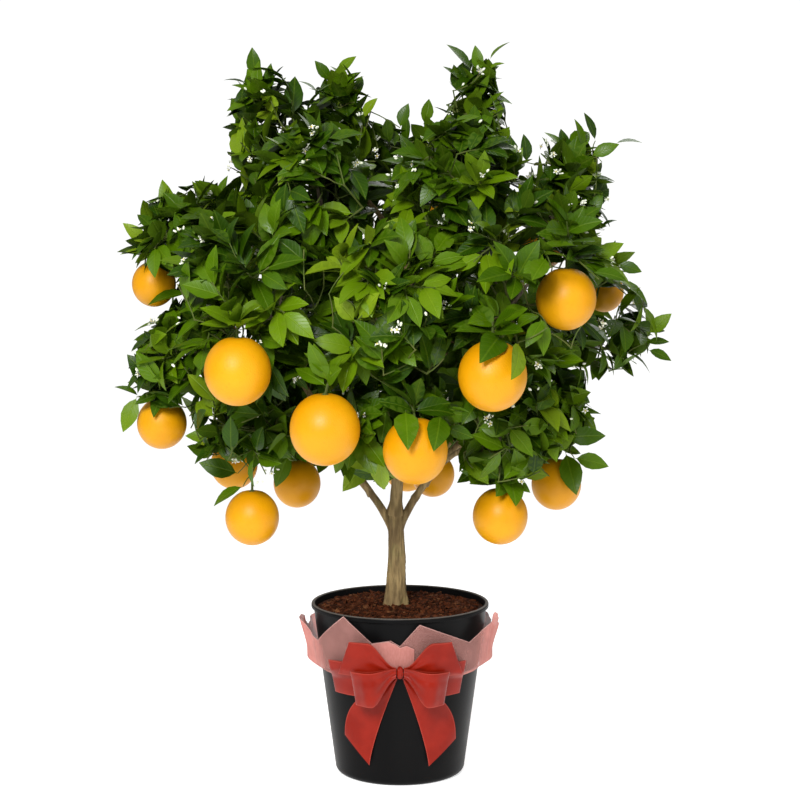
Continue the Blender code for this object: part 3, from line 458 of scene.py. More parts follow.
floor_corners = np.array([(x * FLOOR_HALF_SIZE, y * FLOOR_HALF_SIZE, 0.0) for x, y in
                          ((-1, -1), (1, -1), (1, 1), (-1, 1))])
floor = new_mesh("floor", floor_corners, np.array([(0, 1, 2), (0, 2, 3)]), floor_finish())
floor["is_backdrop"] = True
print("floor:", 2 * FLOOR_HALF_SIZE, "m wide")

# %% [markdown]
# ## The pot
#
# A grower's pot is moulded from black plastic: a thin wall that widens upwards, a rolled lip, a rounded
# foot and six drain holes. It is a turned shape, so a profile is drawn once with true arcs at the lip and
# the foot and then turned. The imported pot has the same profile, but its flat facets would show in the
# gloss, so a finer one stands for it.

# %% Sizes of the pot
POT_HEIGHT = 0.222
POT_RIM_RADIUS = 0.115
POT_BASE_RADIUS = 0.083
POT_WALL = 0.0026
RIM_LIP = 0.0022
RIM_DEPTH = 0.006
BASE_ROUNDING = 0.009
LIP_EDGE_RADIUS = 0.0008
LIP_EDGE_HEIGHT = 0.0012
LIP_STEP = 0.0006
WALL_STARTS_BELOW_LIP = 0.004
FLOOR_ROUNDING = 0.8
FOOT_ARC = (-8, -90)
# How far below the pot's top the lightened band of the lip starts and ends: a painted highlight
PAINTED_LIP_HIGHLIGHT = (0.0014, 0.0004)
POT_SIDES = 144
DRAIN_HOLES = 6
DRAIN_RADIUS = 0.006
DRAIN_CIRCLE = 0.055
DRILL_SIDES = 20
PROFILE_START = 0.002
MULCH_TOP = 0.217
MULCH_EDGE = 0.2135
SEAT_GAP = 0.0003


def wall_radius(height):
    """The outer radius of the pot's wall at a height."""
    top = POT_RIM_RADIUS - RIM_LIP
    return POT_BASE_RADIUS + (top - POT_BASE_RADIUS) * height / POT_HEIGHT


def arc(middle, radius, first, last, steps):
    """Points (radius, height) along an arc between two angles in degrees."""
    angles = [math.radians(angle) for angle in np.linspace(first, last, steps)]
    return [(middle[0] + radius * math.cos(angle), middle[1] + radius * math.sin(angle)) for angle in angles]


# %% The pot's profile
def pot_profile():
    """The pot's outline from the middle of its floor, up inside, over the lip and down to its foot."""
    inner_top = wall_radius(POT_HEIGHT) - POT_WALL
    roll = (POT_RIM_RADIUS - inner_top) / 2
    roll_middle = (POT_RIM_RADIUS - roll, POT_HEIGHT - roll)
    under_lip = POT_HEIGHT - RIM_DEPTH
    foot = wall_radius(BASE_ROUNDING)
    profile = [(PROFILE_START, POT_WALL),
               (wall_radius(POT_WALL) - POT_WALL - BASE_ROUNDING * FLOOR_ROUNDING, POT_WALL),
               (foot - POT_WALL, BASE_ROUNDING + POT_WALL)]
    profile += arc(roll_middle, roll, 180, 0, 13)
    profile += [(POT_RIM_RADIUS, under_lip + LIP_EDGE_HEIGHT)]
    edge_middle = (POT_RIM_RADIUS - LIP_EDGE_RADIUS, under_lip + LIP_EDGE_RADIUS)
    profile += arc(edge_middle, LIP_EDGE_RADIUS, 0, -90, 5)
    profile += [(wall_radius(under_lip) + LIP_STEP, under_lip),
                (wall_radius(under_lip), under_lip - LIP_EDGE_RADIUS)]
    profile += [(wall_radius(height), height)
                for height in np.linspace(under_lip - WALL_STARTS_BELOW_LIP, BASE_ROUNDING, 9)]
    profile += arc((foot - BASE_ROUNDING, BASE_ROUNDING), BASE_ROUNDING, *FOOT_ARC, 9)
    profile += [(PROFILE_START, 0.0)]
    return profile


def black_plastic():
    finish = Finish("satin_black_plastic", {"Specular IOR Level": 0.06})
    handled = finish.patches(14.0, 0.4, 0.75)
    flow = finish.patches(9.0, 0.35, 0.7, (1.0, 1.0, 0.15))
    colour = finish.tint((0.0030, 0.0030, 0.0032), (0.0062, 0.0060, 0.0060), flow, 0.6)
    height = finish.node("ShaderNodeSeparateXYZ", {0: finish.place()}).outputs[2]
    # The top of the rolled lip is lightened in a thin band: a painted highlight
    painted_lip_highlight = finish.ramp(height, POT_HEIGHT - PAINTED_LIP_HIGHLIGHT[0], POT_HEIGHT - PAINTED_LIP_HIGHLIGHT[1])
    colour = finish.tint(colour, (0.150, 0.135, 0.120), painted_lip_highlight, 0.8)
    return finish.into(colour=colour, roughness=finish.range(handled, 0.36, 0.46),
                       normal=finish.pits(1500.0, 0.00004, 0.35))


# %% Turn the pot and drill its holes
pot = new_mesh("black_pot", *ring_solid(turned_rings(pot_profile(), POT_SIDES)), black_plastic())
drill = turned_rings([(DRAIN_RADIUS, -POT_WALL), (DRAIN_RADIUS, POT_WALL * 2)], DRILL_SIDES)
hole_middles = level_ring(DRAIN_CIRCLE, 0.0, DRAIN_HOLES)
drills = new_mesh("drills", *join_arrays([ring_solid(drill + middle) for middle in hole_middles]),
                  pot.data.materials[0])
cut = pot.modifiers.new("Holes", "BOOLEAN")
cut.operation = "DIFFERENCE"
cut.solver = "EXACT"
cut.object = drills
apply_modifiers(pot)
bpy.data.objects.remove(drills)
dress(pot, "pot_plastic", "pot")

# %% [markdown]
# ## The mulch
#
# The pot is filled to just under its rim with reddish brown bark chips. A low uneven bed carries them and
# fills the pot, and the chips themselves are scattered over it by Geometry Nodes: points on the bed, a
# rough splinter on each, turned and sized by a fixed seed. Three runs of the same tree give three browns.

# %% The bed of mulch
BED_SIDES = 96
BED_RINGS = 26
BED_ROUGHNESS = 0.0014
BED_LUMPS = 140
BED_FLAT = 0.2
CHIP_INNER_RADIUS = 0.013
CHIP_OUTER_RADIUS = 0.101


def bed_height(radius):
    """The height of the mulch at a distance from the middle."""
    fallen = ease((radius / CHIP_OUTER_RADIUS - BED_FLAT) / (1 - BED_FLAT))
    return MULCH_TOP - (MULCH_TOP - MULCH_EDGE) * fallen


def bark_chip_finish(name, base, over):
    finish = Finish(name, {"Specular IOR Level": 0.06})
    grain = finish.patches(160.0, 0.3, 0.7, (1.0, 0.35, 1.0))
    blotch = finish.patches(75.0, 0.35, 0.65)
    colour = finish.tint(finish.tint(base, over, blotch), (0.010, 0.004, 0.002), grain, 0.55)
    return finish.into(colour=colour, roughness=finish.range(grain, 0.7, 0.92),
                       normal=finish.bump(grain, 0.0008, 0.7))


bed_edge = wall_radius(MULCH_EDGE) - POT_WALL - SEAT_GAP
bed_profile = [(radius, bed_height(radius)) for radius in np.linspace(PROFILE_START, bed_edge, BED_RINGS)]
bed_profile += [(wall_radius(height) - POT_WALL - SEAT_GAP * 2, height) for height in (0.16, 0.08, 0.015)]
bed_profile += [(wall_radius(POT_WALL) - POT_WALL - BASE_ROUNDING, POT_WALL + SEAT_GAP),
                (PROFILE_START, POT_WALL + SEAT_GAP)]
bed_rings = turned_rings(bed_profile, BED_SIDES)
for point in bed_rings[:BED_RINGS - 1].reshape(-1, 3):
    point[2] += BED_ROUGHNESS * noise.noise(Vector(point) * BED_LUMPS)
bed = new_mesh("mulch_bed", *ring_solid(bed_rings),
               bark_chip_finish("deep_mulch", (0.030, 0.012, 0.007), (0.060, 0.022, 0.012)))
dress(bed, "bark_mulch", "mulch")


# %% A tree of nodes that scatters chips
def finish_instances(group, instances, material, result):
    """Ends a Geometry Nodes tree: the instances made real, given their material and handed out."""
    real = add_node(group, "GeometryNodeRealizeInstances", {"Geometry": instances.outputs["Instances"]})
    painted = add_node(group, "GeometryNodeSetMaterial",
                       {"Geometry": real.outputs["Geometry"], "Material": material})
    group.links.new(painted.outputs["Geometry"], result)
    return group


def build_chip_scatter():
    group, given, result = new_group(
        "scatter_chips", "GeometryNodeTree",
        {"Bed": "Geometry", "Density": 20000.0, "Smallest": (0.005, 0.002, 0.001),
         "Largest": (0.015, 0.005, 0.0025), "Tilt": 0.45, "Seed": 1, "Finish": "Material"},
        {"Chips": "Geometry"})
    points = add_node(group, "GeometryNodeDistributePointsOnFaces",
                      {"Mesh": given["Bed"], "Density": given["Density"], "Seed": given["Seed"]},
                      distribute_method="RANDOM")
    block = add_node(group, "GeometryNodeMeshCube",
                     {"Size": (1.0, 1.0, 1.0), "Vertices X": 4, "Vertices Y": 2, "Vertices Z": 2})
    rough = add_node(group, "ShaderNodeTexNoise", {"Scale": 1.7, "Detail": 1.0})
    centred = add_node(group, "ShaderNodeVectorMath", {0: rough.outputs["Color"], 1: (0.5, 0.5, 0.5)},
                       operation="SUBTRACT")
    splinter = add_node(group, "GeometryNodeSetPosition",
                        {"Geometry": block.outputs["Mesh"], "Offset": centred.outputs[0]})
    back = add_node(group, "ShaderNodeMath", {0: given["Tilt"], 1: -1.0}, operation="MULTIPLY")
    least = add_node(group, "ShaderNodeCombineXYZ", {0: back.outputs[0], 1: back.outputs[0], 2: -math.pi})
    most = add_node(group, "ShaderNodeCombineXYZ", {0: given["Tilt"], 1: given["Tilt"], 2: math.pi})
    turn, size = (
        add_node(group, "FunctionNodeRandomValue", {0: low, 1: high, "Seed": given["Seed"]},
                 data_type="FLOAT_VECTOR")
        for low, high in ((least.outputs[0], most.outputs[0]), (given["Smallest"], given["Largest"])))
    chips = add_node(group, "GeometryNodeInstanceOnPoints",
                     {"Points": points.outputs["Points"], "Instance": splinter.outputs["Geometry"],
                      "Rotation": turn.outputs[0], "Scale": size.outputs[0]})
    return finish_instances(group, chips, given["Finish"], result["Chips"])


def run_tree(tree, base, values, name):
    """Runs a Geometry Nodes tree on the base mesh and keeps the result as a plain mesh."""
    carrier = add_object(name, base)
    rule = carrier.modifiers.new("Rule", "NODES")
    rule.node_group = tree
    for item in tree.interface.items_tree:
        if item.in_out == "INPUT" and item.name in values:
            rule[item.identifier] = values[item.name]
    return apply_modifiers(carrier)


# %% Scatter three browns
SURFACE_RINGS = 12
SURFACE_SIDES = 48
CHIP_LIFT = 0.0008
CHIP_SCATTER = build_chip_scatter()
# Each brown: chips for each square metre, the seed and two colours
CHIP_KINDS = {
    "mulch_chips_dark": (15000.0, 3, (0.028, 0.008, 0.003), (0.050, 0.015, 0.006)),
    "mulch_chips_red": (19000.0, 7, (0.078, 0.020, 0.007), (0.120, 0.034, 0.012)),
    "mulch_chips_tan": (4200.0, 11, (0.180, 0.074, 0.030), (0.105, 0.034, 0.014)),
}
surface_radii = np.linspace(CHIP_INNER_RADIUS, CHIP_OUTER_RADIUS, SURFACE_RINGS)
surface_rings = turned_rings([(radius, bed_height(radius) + CHIP_LIFT) for radius in surface_radii],
                             SURFACE_SIDES)
surface_mesh = bpy.data.meshes.new("bed_surface")
surface_mesh.from_pydata(surface_rings.reshape(-1, 3).tolist(), [],
                         grid_quads(SURFACE_RINGS, SURFACE_SIDES).tolist())
for name, (density, seed, base, over) in CHIP_KINDS.items():
    chips = run_tree(CHIP_SCATTER, surface_mesh.copy(),
                     {"Density": density, "Seed": seed, "Finish": bark_chip_finish(name, base, over)}, name)
    dress(chips, "bark_mulch")

# %% [markdown]
# ## The limbs
#
# The trunk leaves the mulch with a small root flare, leans a little and forks at a hand's height. Three
# main boughs leave it and the rest branch from those, each to its own mass of foliage. The rule and its
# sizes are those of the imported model, so the bark made here lies on the solids. What is added is what
# facets can't show: rounder bends, swollen collars where a bough leaves its parent, and furrowed bark.

# %% Sizes of the trunk and boughs
# Heights over the mulch, with how far the trunk leans to the right there and its radius
TRUNK = ((0.0, -0.0062, 0.0150), (0.022, -0.0054, 0.0125), (0.060, -0.0039, 0.0108),
         (0.090, -0.0048, 0.0095), (0.122, -0.0066, 0.0092))
TRUNK_RINGS = 9
FLARE_HEIGHT = 0.03
FLARE_LOBES = 5
FLARE_DEPTH = 0.0022
FLARE_TWIST = 0.6

# Each mass of the crown, in millimetres: the middle and the half sizes of its space
MASSES = {
    "top_left": (-162, 0, 805, 76, 120, 128),
    "top_middle": (-78, 30, 800, 62, 110, 117),
    "top_right": (96, 10, 818, 60, 120, 122),
    "top_front_left": (-105, -140, 742, 88, 120, 98),
    "top_front_right": (70, -140, 748, 92, 120, 98),
    "top_back": (0, 155, 755, 150, 130, 100),
    "left_upper": (-248, 0, 683, 114, 150, 98),
    "left_lower": (-265, -10, 528, 94, 130, 104),
    "right_upper": (212, 0, 745, 73, 120, 104),
    "right_middle": (248, 0, 582, 104, 130, 92),
    "front_left": (-165, -190, 620, 125, 115, 125),
    "front_middle": (-15, -225, 610, 105, 105, 115),
    "front_right": (145, -190, 635, 125, 115, 125),
    "back_left": (-165, 190, 620, 135, 120, 130),
    "back_middle": (0, 225, 600, 105, 105, 115),
    "back_right": (165, 190, 620, 135, 120, 130),
    "low_left": (-184, -75, 460, 100, 120, 98),
    "low_front": (-15, -150, 475, 105, 120, 100),
    "low_front_right": (125, -110, 465, 95, 110, 100),
    "low_right": (184, 20, 462, 86, 115, 98),
    "low_back_left": (-135, 140, 465, 120, 120, 100),
    "low_back_right": (115, 150, 465, 115, 120, 100),
}

# Each bough: the limb that bears it, how far along that limb, its base radius, how it rises, its mass
BOUGHS = {
    "bough_left": ("trunk", 0.74, 0.0054, 0.26, "left_lower"),
    "bough_centre": ("trunk", 1.0, 0.0082, 0.30, "top_front_right"),
    "bough_right": ("trunk", 0.77, 0.0055, 0.18, "right_middle"),
    "bough_top_front_left": ("bough_centre", 0.54, 0.0044, 0.36, "top_front_left"),
    "bough_top_left": ("bough_centre", 0.42, 0.0046, 0.40, "top_left"),
    "bough_top_middle": ("bough_centre", 0.60, 0.0042, 0.40, "top_middle"),
    "bough_top_right": ("bough_centre", 0.50, 0.0046, 0.40, "top_right"),
    "bough_top_back": ("bough_centre", 0.36, 0.0046, 0.40, "top_back"),
    "bough_front_left": ("bough_centre", 0.20, 0.0042, 0.34, "front_left"),
    "bough_front_middle": ("bough_centre", 0.14, 0.0042, 0.40, "front_middle"),
    "bough_front_right": ("bough_centre", 0.28, 0.0042, 0.34, "front_right"),
    "bough_back_left": ("bough_centre", 0.17, 0.0044, 0.36, "back_left"),
    "bough_back_middle": ("bough_centre", 0.11, 0.0042, 0.40, "back_middle"),
    "bough_back_right": ("bough_centre", 0.25, 0.0044, 0.36, "back_right"),
    "bough_low_front": ("bough_front_middle", 0.34, 0.0036, 0.20, "low_front"),
    "bough_left_upper": ("bough_left", 0.34, 0.0042, 0.40, "left_upper"),
    "bough_low_left": ("bough_left", 0.56, 0.0038, 0.24, "low_left"),
    "bough_low_back_left": ("bough_left", 0.24, 0.0038, 0.42, "low_back_left"),
    "bough_right_upper": ("bough_right", 0.36, 0.0042, 0.45, "right_upper"),
    "bough_low_front_right": ("bough_right", 0.20, 0.0038, 0.36, "low_front_right"),
    "bough_low_right": ("bough_right", 0.50, 0.0038, 0.34, "low_right"),
    "bough_low_back_right": ("bough_right", 0.28, 0.0038, 0.42, "low_back_right"),
}
BOUGH_TIP_RADIUS = 0.0028
BOUGH_STOP = 0.050
BOUGH_TAPER = 0.8
BOUGH_LIGHT_PULL = 0.6
BOUGH_BEND_PLACE = 0.22
CENTRE_BOUGH_SINK = 0.003
BOUGH_POINTS = 6


# %% The rule of the limbs
def trunk_path():
    levels = [TRUNK[-1][0] * step / (TRUNK_RINGS - 1) for step in range(TRUNK_RINGS)]
    foot = MULCH_TOP + SEAT_GAP
    points = [np.array((interpolate(TRUNK, level), 0.0, foot + level)) for level in levels]
    return points, [interpolate(TRUNK, level, 2) for level in levels]


def along(points, share):
    """The point and the direction at a share of the way along a path."""
    place = share * (len(points) - 1)
    index = min(int(place), len(points) - 2)
    step = points[index + 1] - points[index]
    return points[index] + step * (place - index), unit(step)


def bough_path(limbs, parent, share, base_radius, rise, mass):
    """A limb that leaves its parent at an acute angle and bends out to stop inside its mass."""
    start, heading = along(limbs[parent][0], share)
    middle = np.array(MASSES[mass][:3]) / 1000
    end = middle - unit(middle - start) * BOUGH_STOP
    lift = unit(heading + UP * BOUGH_LIGHT_PULL) * distance(end, start) * rise
    control = start + lift + (end - start) * BOUGH_BEND_PLACE
    points, radii = [], []
    for number in range(BOUGH_POINTS):
        t = number / (BOUGH_POINTS - 1)
        points.append(start * (1 - t) ** 2 + control * 2 * t * (1 - t) + end * t * t)
        radii.append(base_radius + (BOUGH_TIP_RADIUS - base_radius) * t ** BOUGH_TAPER)
    return points, radii


def all_limbs():
    """The path and the radii of the trunk and of every bough, parents first."""
    limbs = {"trunk": trunk_path()}
    for name, (parent, share, base_radius, rise, mass) in BOUGHS.items():
        limbs[name] = bough_path(limbs, parent, share, base_radius, rise, mass)
    top, heading = along(limbs["trunk"][0], 1.0)
    limbs["bough_centre"][0][0] = top - heading * CENTRE_BOUGH_SINK
    return limbs


LIMBS = all_limbs()
print("limbs:", len(LIMBS))

# %% Bark on a limb
# The sides of each ring, the spacing of the rings and the depth of the bark
TRUNK_BARK = (96, 0.0011, 0.00085)
BOUGH_BARK = (20, 0.0028, 0.00032)
FEWEST_RINGS = 6
COLLAR_LENGTH = 0.020
COLLAR_SWELL = 0.42
# How close the long ridges and the fine ones stand, across the limb and up it
LONG_RIDGES = np.array((330, 330, 36))
FINE_RIDGES = np.array((900, 900, 110))
CRACK_DEPTH = 2.2
FINE_DEPTH = 0.35
SIDE_HINT = np.array((0.31, 0.95, 0.1))


def smooth_path(points, radii, spacing):
    """The path redrawn as a smooth curve through its points, with the radius at each new point."""
    points, radii = np.array(points), np.array(radii)
    ghost = np.vstack([2 * points[0] - points[1], points, 2 * points[-1] - points[-2]])
    places = np.linspace(0, len(points) - 1, max(FEWEST_RINGS, int(path_length(points) / spacing)))
    index = np.minimum(places.astype(int), len(points) - 2)
    t = (places - index)[:, None]
    a, b, c, d = (ghost[index + shift] for shift in range(4))
    curve = 0.5 * (2 * b + (c - a) * t + (2 * a - 5 * b + 4 * c - d) * t ** 2
                   + (3 * b - a - 3 * c + d) * t ** 3)
    return curve, np.interp(places, range(len(radii)), radii)


def frames_along(curve):
    """Two axes across the path at each point, carried along it without twisting."""
    steps = unit_rows(np.gradient(curve, axis=0))
    side = unit(np.cross(steps[0], SIDE_HINT))
    sides = []
    for step in steps:
        side = unit(side - step * float(side @ step))
        sides.append(side)
    return np.array(sides), np.cross(steps, np.array(sides))


def furrow(point, lean, depth):
    """How far the bark stands out at a point: long ridges with shallow cracks between them."""
    place = point - np.array((lean, 0.0, 0.0))
    ridge, fine = (noise.noise(Vector(place * scale)) for scale in (LONG_RIDGES, FINE_RIDGES))
    return depth * (1 - CRACK_DEPTH * abs(ridge)) + depth * FINE_DEPTH * fine


def bark_rings(name, sides, spacing, depth):
    """The rings of a limb's surface with its collar or flare and its furrows."""
    curve, radii = smooth_path(*LIMBS[name], spacing)
    sides_axis, ups = frames_along(curve)
    travelled = np.concatenate([[0], np.cumsum(np.linalg.norm(np.diff(curve, axis=0), axis=1))])
    rings = []
    for middle, radius, side, up, run in zip(curve, radii, sides_axis, ups, travelled):
        if name != "trunk":
            radius = radius * (1 + COLLAR_SWELL * (1 - ease(run / COLLAR_LENGTH)))
        ring = []
        for turn in full_turn(sides):
            outward = side * math.cos(turn) + up * math.sin(turn)
            place = middle + outward * radius
            reach = radius + furrow(place, middle[0], depth)
            if name == "trunk":
                lobe = math.cos(FLARE_LOBES * math.atan2(outward[1], outward[0]) + FLARE_TWIST)
                reach += FLARE_DEPTH * (1 - ease(run / FLARE_HEIGHT)) * lobe
            ring.append(middle + outward * reach)
        rings.append(ring)
    return np.array(rings)


# %% The bark's finish
def bark_finish():
    finish = Finish("ridged_bark", {"Specular IOR Level": 0.25})
    ridge = finish.patches(230.0, 0.32, 0.62, (1.0, 1.0, 0.13), 4.0)
    blotch = finish.patches(26.0, 0.38, 0.66)
    moss = finish.patches(55.0, 0.52, 0.72)
    colour = finish.tint((0.350, 0.250, 0.110), (0.215, 0.146, 0.065), blotch)
    colour = finish.tint(colour, (0.280, 0.250, 0.090), moss, 0.40)
    dark = finish.range(ridge, 1.0, 0.0)
    colour = finish.tint(colour, (0.100, 0.066, 0.030), dark, 0.70)
    return finish.into(colour=colour, roughness=finish.range(ridge, 0.92, 0.72),
                       normal=finish.bump(ridge, 0.0009, 0.8))


# %% Trunk and boughs
BARK = bark_finish()
dress(new_mesh("trunk_bark", *ring_solid(bark_rings("trunk", *TRUNK_BARK)), BARK), "bark", "trunk")
bough_parts = [ring_solid(bark_rings(name, *BOUGH_BARK)) for name in BOUGHS]
dress(new_mesh("bough_bark", *join_arrays(bough_parts), BARK), "bark", *BOUGHS)

# %% [markdown]
# ## How the crown grows
#
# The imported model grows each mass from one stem: fruit stalks first, then a few shoots spread evenly in
# the mass's space, each joined to the nearest twig by a way that is clear of limbs and fruit. The same
# rule with the same seeds is written again here, so its twigs are the same ones. Then it goes on: each
# mass gets many finer shoots by the same rule, because real leaves are half as long as the model's.

# %% The fruit and the sizes of the twigs
# Each fruit: middle, radius, and the share of it that leaves keep clear of, measured up from its foot
FRUITS = (
    ((-0.3120, -0.020, 0.6337), 0.0278, 0.62),
    ((-0.1860, -0.262, 0.5412), 0.0385, 0.97),
    ((-0.3066, 0.000, 0.4541), 0.0319, 0.78),
    ((-0.0859, -0.268, 0.4750), 0.0404, 0.97),
    ((-0.2183, 0.050, 0.3942), 0.0310, 0.55),
    ((-0.1846, -0.080, 0.3440), 0.0336, 0.90),
    ((-0.1373, 0.080, 0.3655), 0.0314, 0.78),
    ((0.0175, -0.250, 0.4479), 0.0375, 0.72),
    ((0.0440, 0.100, 0.3745), 0.0290, 0.70),
    ((0.1055, -0.268, 0.5362), 0.0395, 0.70),
    ((0.1944, -0.205, 0.6217), 0.0354, 0.97),
    ((0.2700, 0.080, 0.6205), 0.0258, 0.55),
    ((0.1243, -0.100, 0.3489), 0.0341, 0.80),
    ((0.2034, 0.020, 0.3724), 0.0323, 0.68),
    ((-0.060, 0.296, 0.560), 0.036, 0.85),
    ((0.120, 0.292, 0.500), 0.038, 0.85),
    ((-0.215, 0.236, 0.480), 0.035, 0.80),
    ((0.205, 0.215, 0.465), 0.034, 0.80),
    ((0.200, 0.250, 0.680), 0.033, 0.80),
    ((-0.258, 0.170, 0.555), 0.035, 0.80),
    ((0.010, 0.200, 0.372), 0.033, 0.70),
    ((0.040, 0.262, 0.720), 0.032, 0.80),
)
FRONT_FRUITS = 14
FRUIT_TALLNESS = 1.045
STALK_LENGTH = 0.020
STALK_RADIUS = 0.0021
ANCHOR_MARGIN = 0.008
ANCHOR_STEPS = 14
SPACE_GAP = 0.0006
SHOOTS_PER_MASS = 4
SHOOT_REACH = 0.62
SHOOT_SPREAD = 0.3
SHOOT_MARGIN = 0.012
SHOOT_TRIES = 16
ELBOW_TRIES = 40
STEM_LENGTH = 0.014
TWIG_RADIUS = 0.0023
TWIG_CLEARANCE = 0.002
TWIG_TEST_STEP = 0.004
DETOUR_COST = 0.35
CROWN_MIDDLE = np.array((0.0, 0.0, 0.56))


# %% Where twigs may grow
def limb_segments(limbs):
    """A row for each straight piece of the limbs: its ends and its radii."""
    return np.array([(*start, *end, first, last) for points, radii in limbs
                     for start, end, first, last in zip(points, points[1:], radii, radii[1:])])


def gaps_to_segments(points, segments):
    """How far each point is from each tapering segment's surface."""
    start, step = segments[:, 0:3], segments[:, 3:6] - segments[:, 0:3]
    offset = points[:, None, :] - start[None]
    share = np.clip((offset * step).sum(2) / np.maximum((step * step).sum(1), 1e-12), 0, 1)
    gap = np.linalg.norm(offset - share[..., None] * step, axis=2)
    return gap - (segments[:, 6] + share * (segments[:, 7] - segments[:, 6]))


class Crown:
    """The spaces of the masses, and the limbs and fruit that stand in them."""

    def __init__(self, limbs):
        self.names = list(MASSES)
        self.middles, self.halves = np.split(np.array(list(MASSES.values())) / 1000, 2, axis=1)
        self.weights = self.halves.mean(axis=1) ** 2
        self.limbs = limb_segments(limbs.values())
        self.fruit_middles = np.array([place for place, _, _ in FRUITS])
        self.fruit_radii = np.array([radius for _, radius, _ in FRUITS])
        self.owners, self.anchors = zip(*[self.hang(*fruit)
                                          for fruit in zip(self.fruit_middles, self.fruit_radii)])
        self.stalks = limb_segments([(ends, (STALK_RADIUS, STALK_RADIUS))
                                     for ends in zip(self.fruit_middles, self.anchors)])

    def powers(self, points):
        gaps = points[:, None, :] - self.middles[None]
        return (gaps * gaps).sum(2) - self.weights

    def holds(self, name, points, clearance=SPACE_GAP):
        """True where all the points are in the mass's own space, clear of its neighbours' spaces."""
        index = self.names.index(name)
        scaled = np.linalg.norm((points - self.middles[index]) / self.halves[index], axis=1)
        if scaled.max() > 1 - clearance / self.halves[index].mean():
            return False
        powers = self.powers(points)
        apart = np.linalg.norm(self.middles - self.middles[index], axis=1)
        apart[index] = 1.0
        margin = (powers - powers[:, [index]]) / (2 * apart)
        margin[:, index] = 1.0
        return bool(margin.min() > clearance)

    def hang(self, place, radius):
        """The mass that bears a fruit, and where its stalk leaves a twig, drawn in to where there is room."""
        above = place + UP * (radius * FRUIT_TALLNESS + STALK_LENGTH)
        index = int(self.powers(above[None])[0].argmin())
        for step in range(ANCHOR_STEPS):
            anchor = above + (self.middles[index] - above) * step / ANCHOR_STEPS
            if self.holds(self.names[index], anchor[None], ANCHOR_MARGIN):
                break
        return self.names[index], anchor

    def touches(self, name, points, clearance):
        """True if a point is too near a limb, a fruit or another mass's fruit stalk."""
        if (gaps_to_segments(points, self.limbs) < clearance).any():
            return True
        gaps = np.linalg.norm(points[:, None, :] - self.fruit_middles[None], axis=2) - self.fruit_radii
        if (gaps < clearance).any():
            return True
        foreign = self.stalks[[owner != name for owner in self.owners]]
        return bool((gaps_to_segments(points, foreign) < clearance).any())


# %% The rule of the twigs
def random_direction(rng):
    return unit(np.array([rng.gauss(0, 1) for _ in range(3)]))


def shoot_target(crown, name, chosen, rng, furthest=SHOOT_REACH):
    """A place for a shoot's end in the mass's space: the farthest from the others of a few random tries."""
    index = crown.names.index(name)
    best, best_gap = None, -1.0
    for _ in range(SHOOT_TRIES):
        reach = furthest * rng.random() ** SHOOT_SPREAD
        point = crown.middles[index] + random_direction(rng) * crown.halves[index] * reach
        gap = min((distance(point, other) for other in chosen), default=1.0)
        if gap > best_gap and crown.holds(name, point[None], SHOOT_MARGIN):
            best, best_gap = point, gap
    return best


def open_way(crown, name, start, end):
    """True if a twig can run from start to end inside the mass and clear of limbs and fruit."""
    count = max(2, int(np.linalg.norm(end - start) / TWIG_TEST_STEP))
    line = start + (end - start) * np.linspace(0, 1, count)[:, None]
    if not crown.holds(name, line, TWIG_RADIUS + SPACE_GAP):
        return False
    return not crown.touches(name, line, TWIG_RADIUS + TWIG_CLEARANCE)


def join(crown, name, nodes, target):
    """Joins a target to the nearest twig with an open way to it, counting a long detour as farther."""
    ranked = []
    for number, (place, _, length) in enumerate(nodes[1:], start=1):
        span = distance(target, place)
        ranked.append((span + DETOUR_COST * (length + span), number, length + span))
    for _, number, length in sorted(ranked):
        if open_way(crown, name, nodes[number][0], target):
            nodes.append((target, number, length))
            return True
    return False


def join_all(crown, name, nodes, targets):
    """Joins targets to the twigs, the nearest to the stem first."""
    for target in sorted(targets, key=lambda target: distance(target, nodes[0][0])):
        join(crown, name, nodes, target)


def grow(crown, name, base, heading, rng):
    """Twigs that branch from one stem, fruit anchors first: nodes of place, parent's number and length."""
    nodes = [(base, -1, 0.0), (base + heading * STEM_LENGTH, 0, STEM_LENGTH)]
    anchors = [anchor for anchor, owner in zip(crown.anchors, crown.owners) if owner == name]
    anchors.sort(key=lambda anchor: distance(anchor, base))
    for anchor in anchors:
        reached = join(crown, name, nodes, anchor)
        for _ in range(ELBOW_TRIES):
            if reached:
                break
            elbow = shoot_target(crown, name, [], rng)
            if elbow is not None and open_way(crown, name, elbow, anchor) and join(crown, name, nodes, elbow):
                reached = join(crown, name, nodes, anchor)
    targets = list(anchors)
    for _ in range(SHOOTS_PER_MASS):
        target = shoot_target(crown, name, targets, rng)
        if target is not None:
            targets.append(target)
    join_all(crown, name, nodes, targets[len(anchors):])
    return nodes


# %% What would hide a fruit
def view_lines():
    """For each fruit the direction in which it is kept in view: to the camera, or outwards at the back."""
    places = np.array([place for place, _, _ in FRUITS])
    lines = np.where(np.arange(len(FRUITS))[:, None] < FRONT_FRUITS, CAMERA_PLACE - places,
                     places * (1.0, 1.0, 0.0))
    return np.array([unit(line) for line in lines])


VIEW_LINES = view_lines()


def hides_fruit(crown, points):
    """True for each point that stands before the part of a fruit that is kept in view."""
    offset = points[:, None] - crown.fruit_middles[None]
    ahead = (offset * VIEW_LINES[None]).sum(axis=2)
    beside = (offset - ahead[..., None] * VIEW_LINES[None]) / crown.fruit_radii[None, :, None]
    kept = np.array([shows for _, _, shows in FRUITS])
    in_view = (np.linalg.norm(beside, axis=2) < 1) & (0.5 + 0.5 * beside[..., 2] < kept[None])
    return ((ahead > 0) & in_view).any(axis=1)


# %% The finer shoots
FINER_SHOOTS = 72
FINER_REACH = 0.86
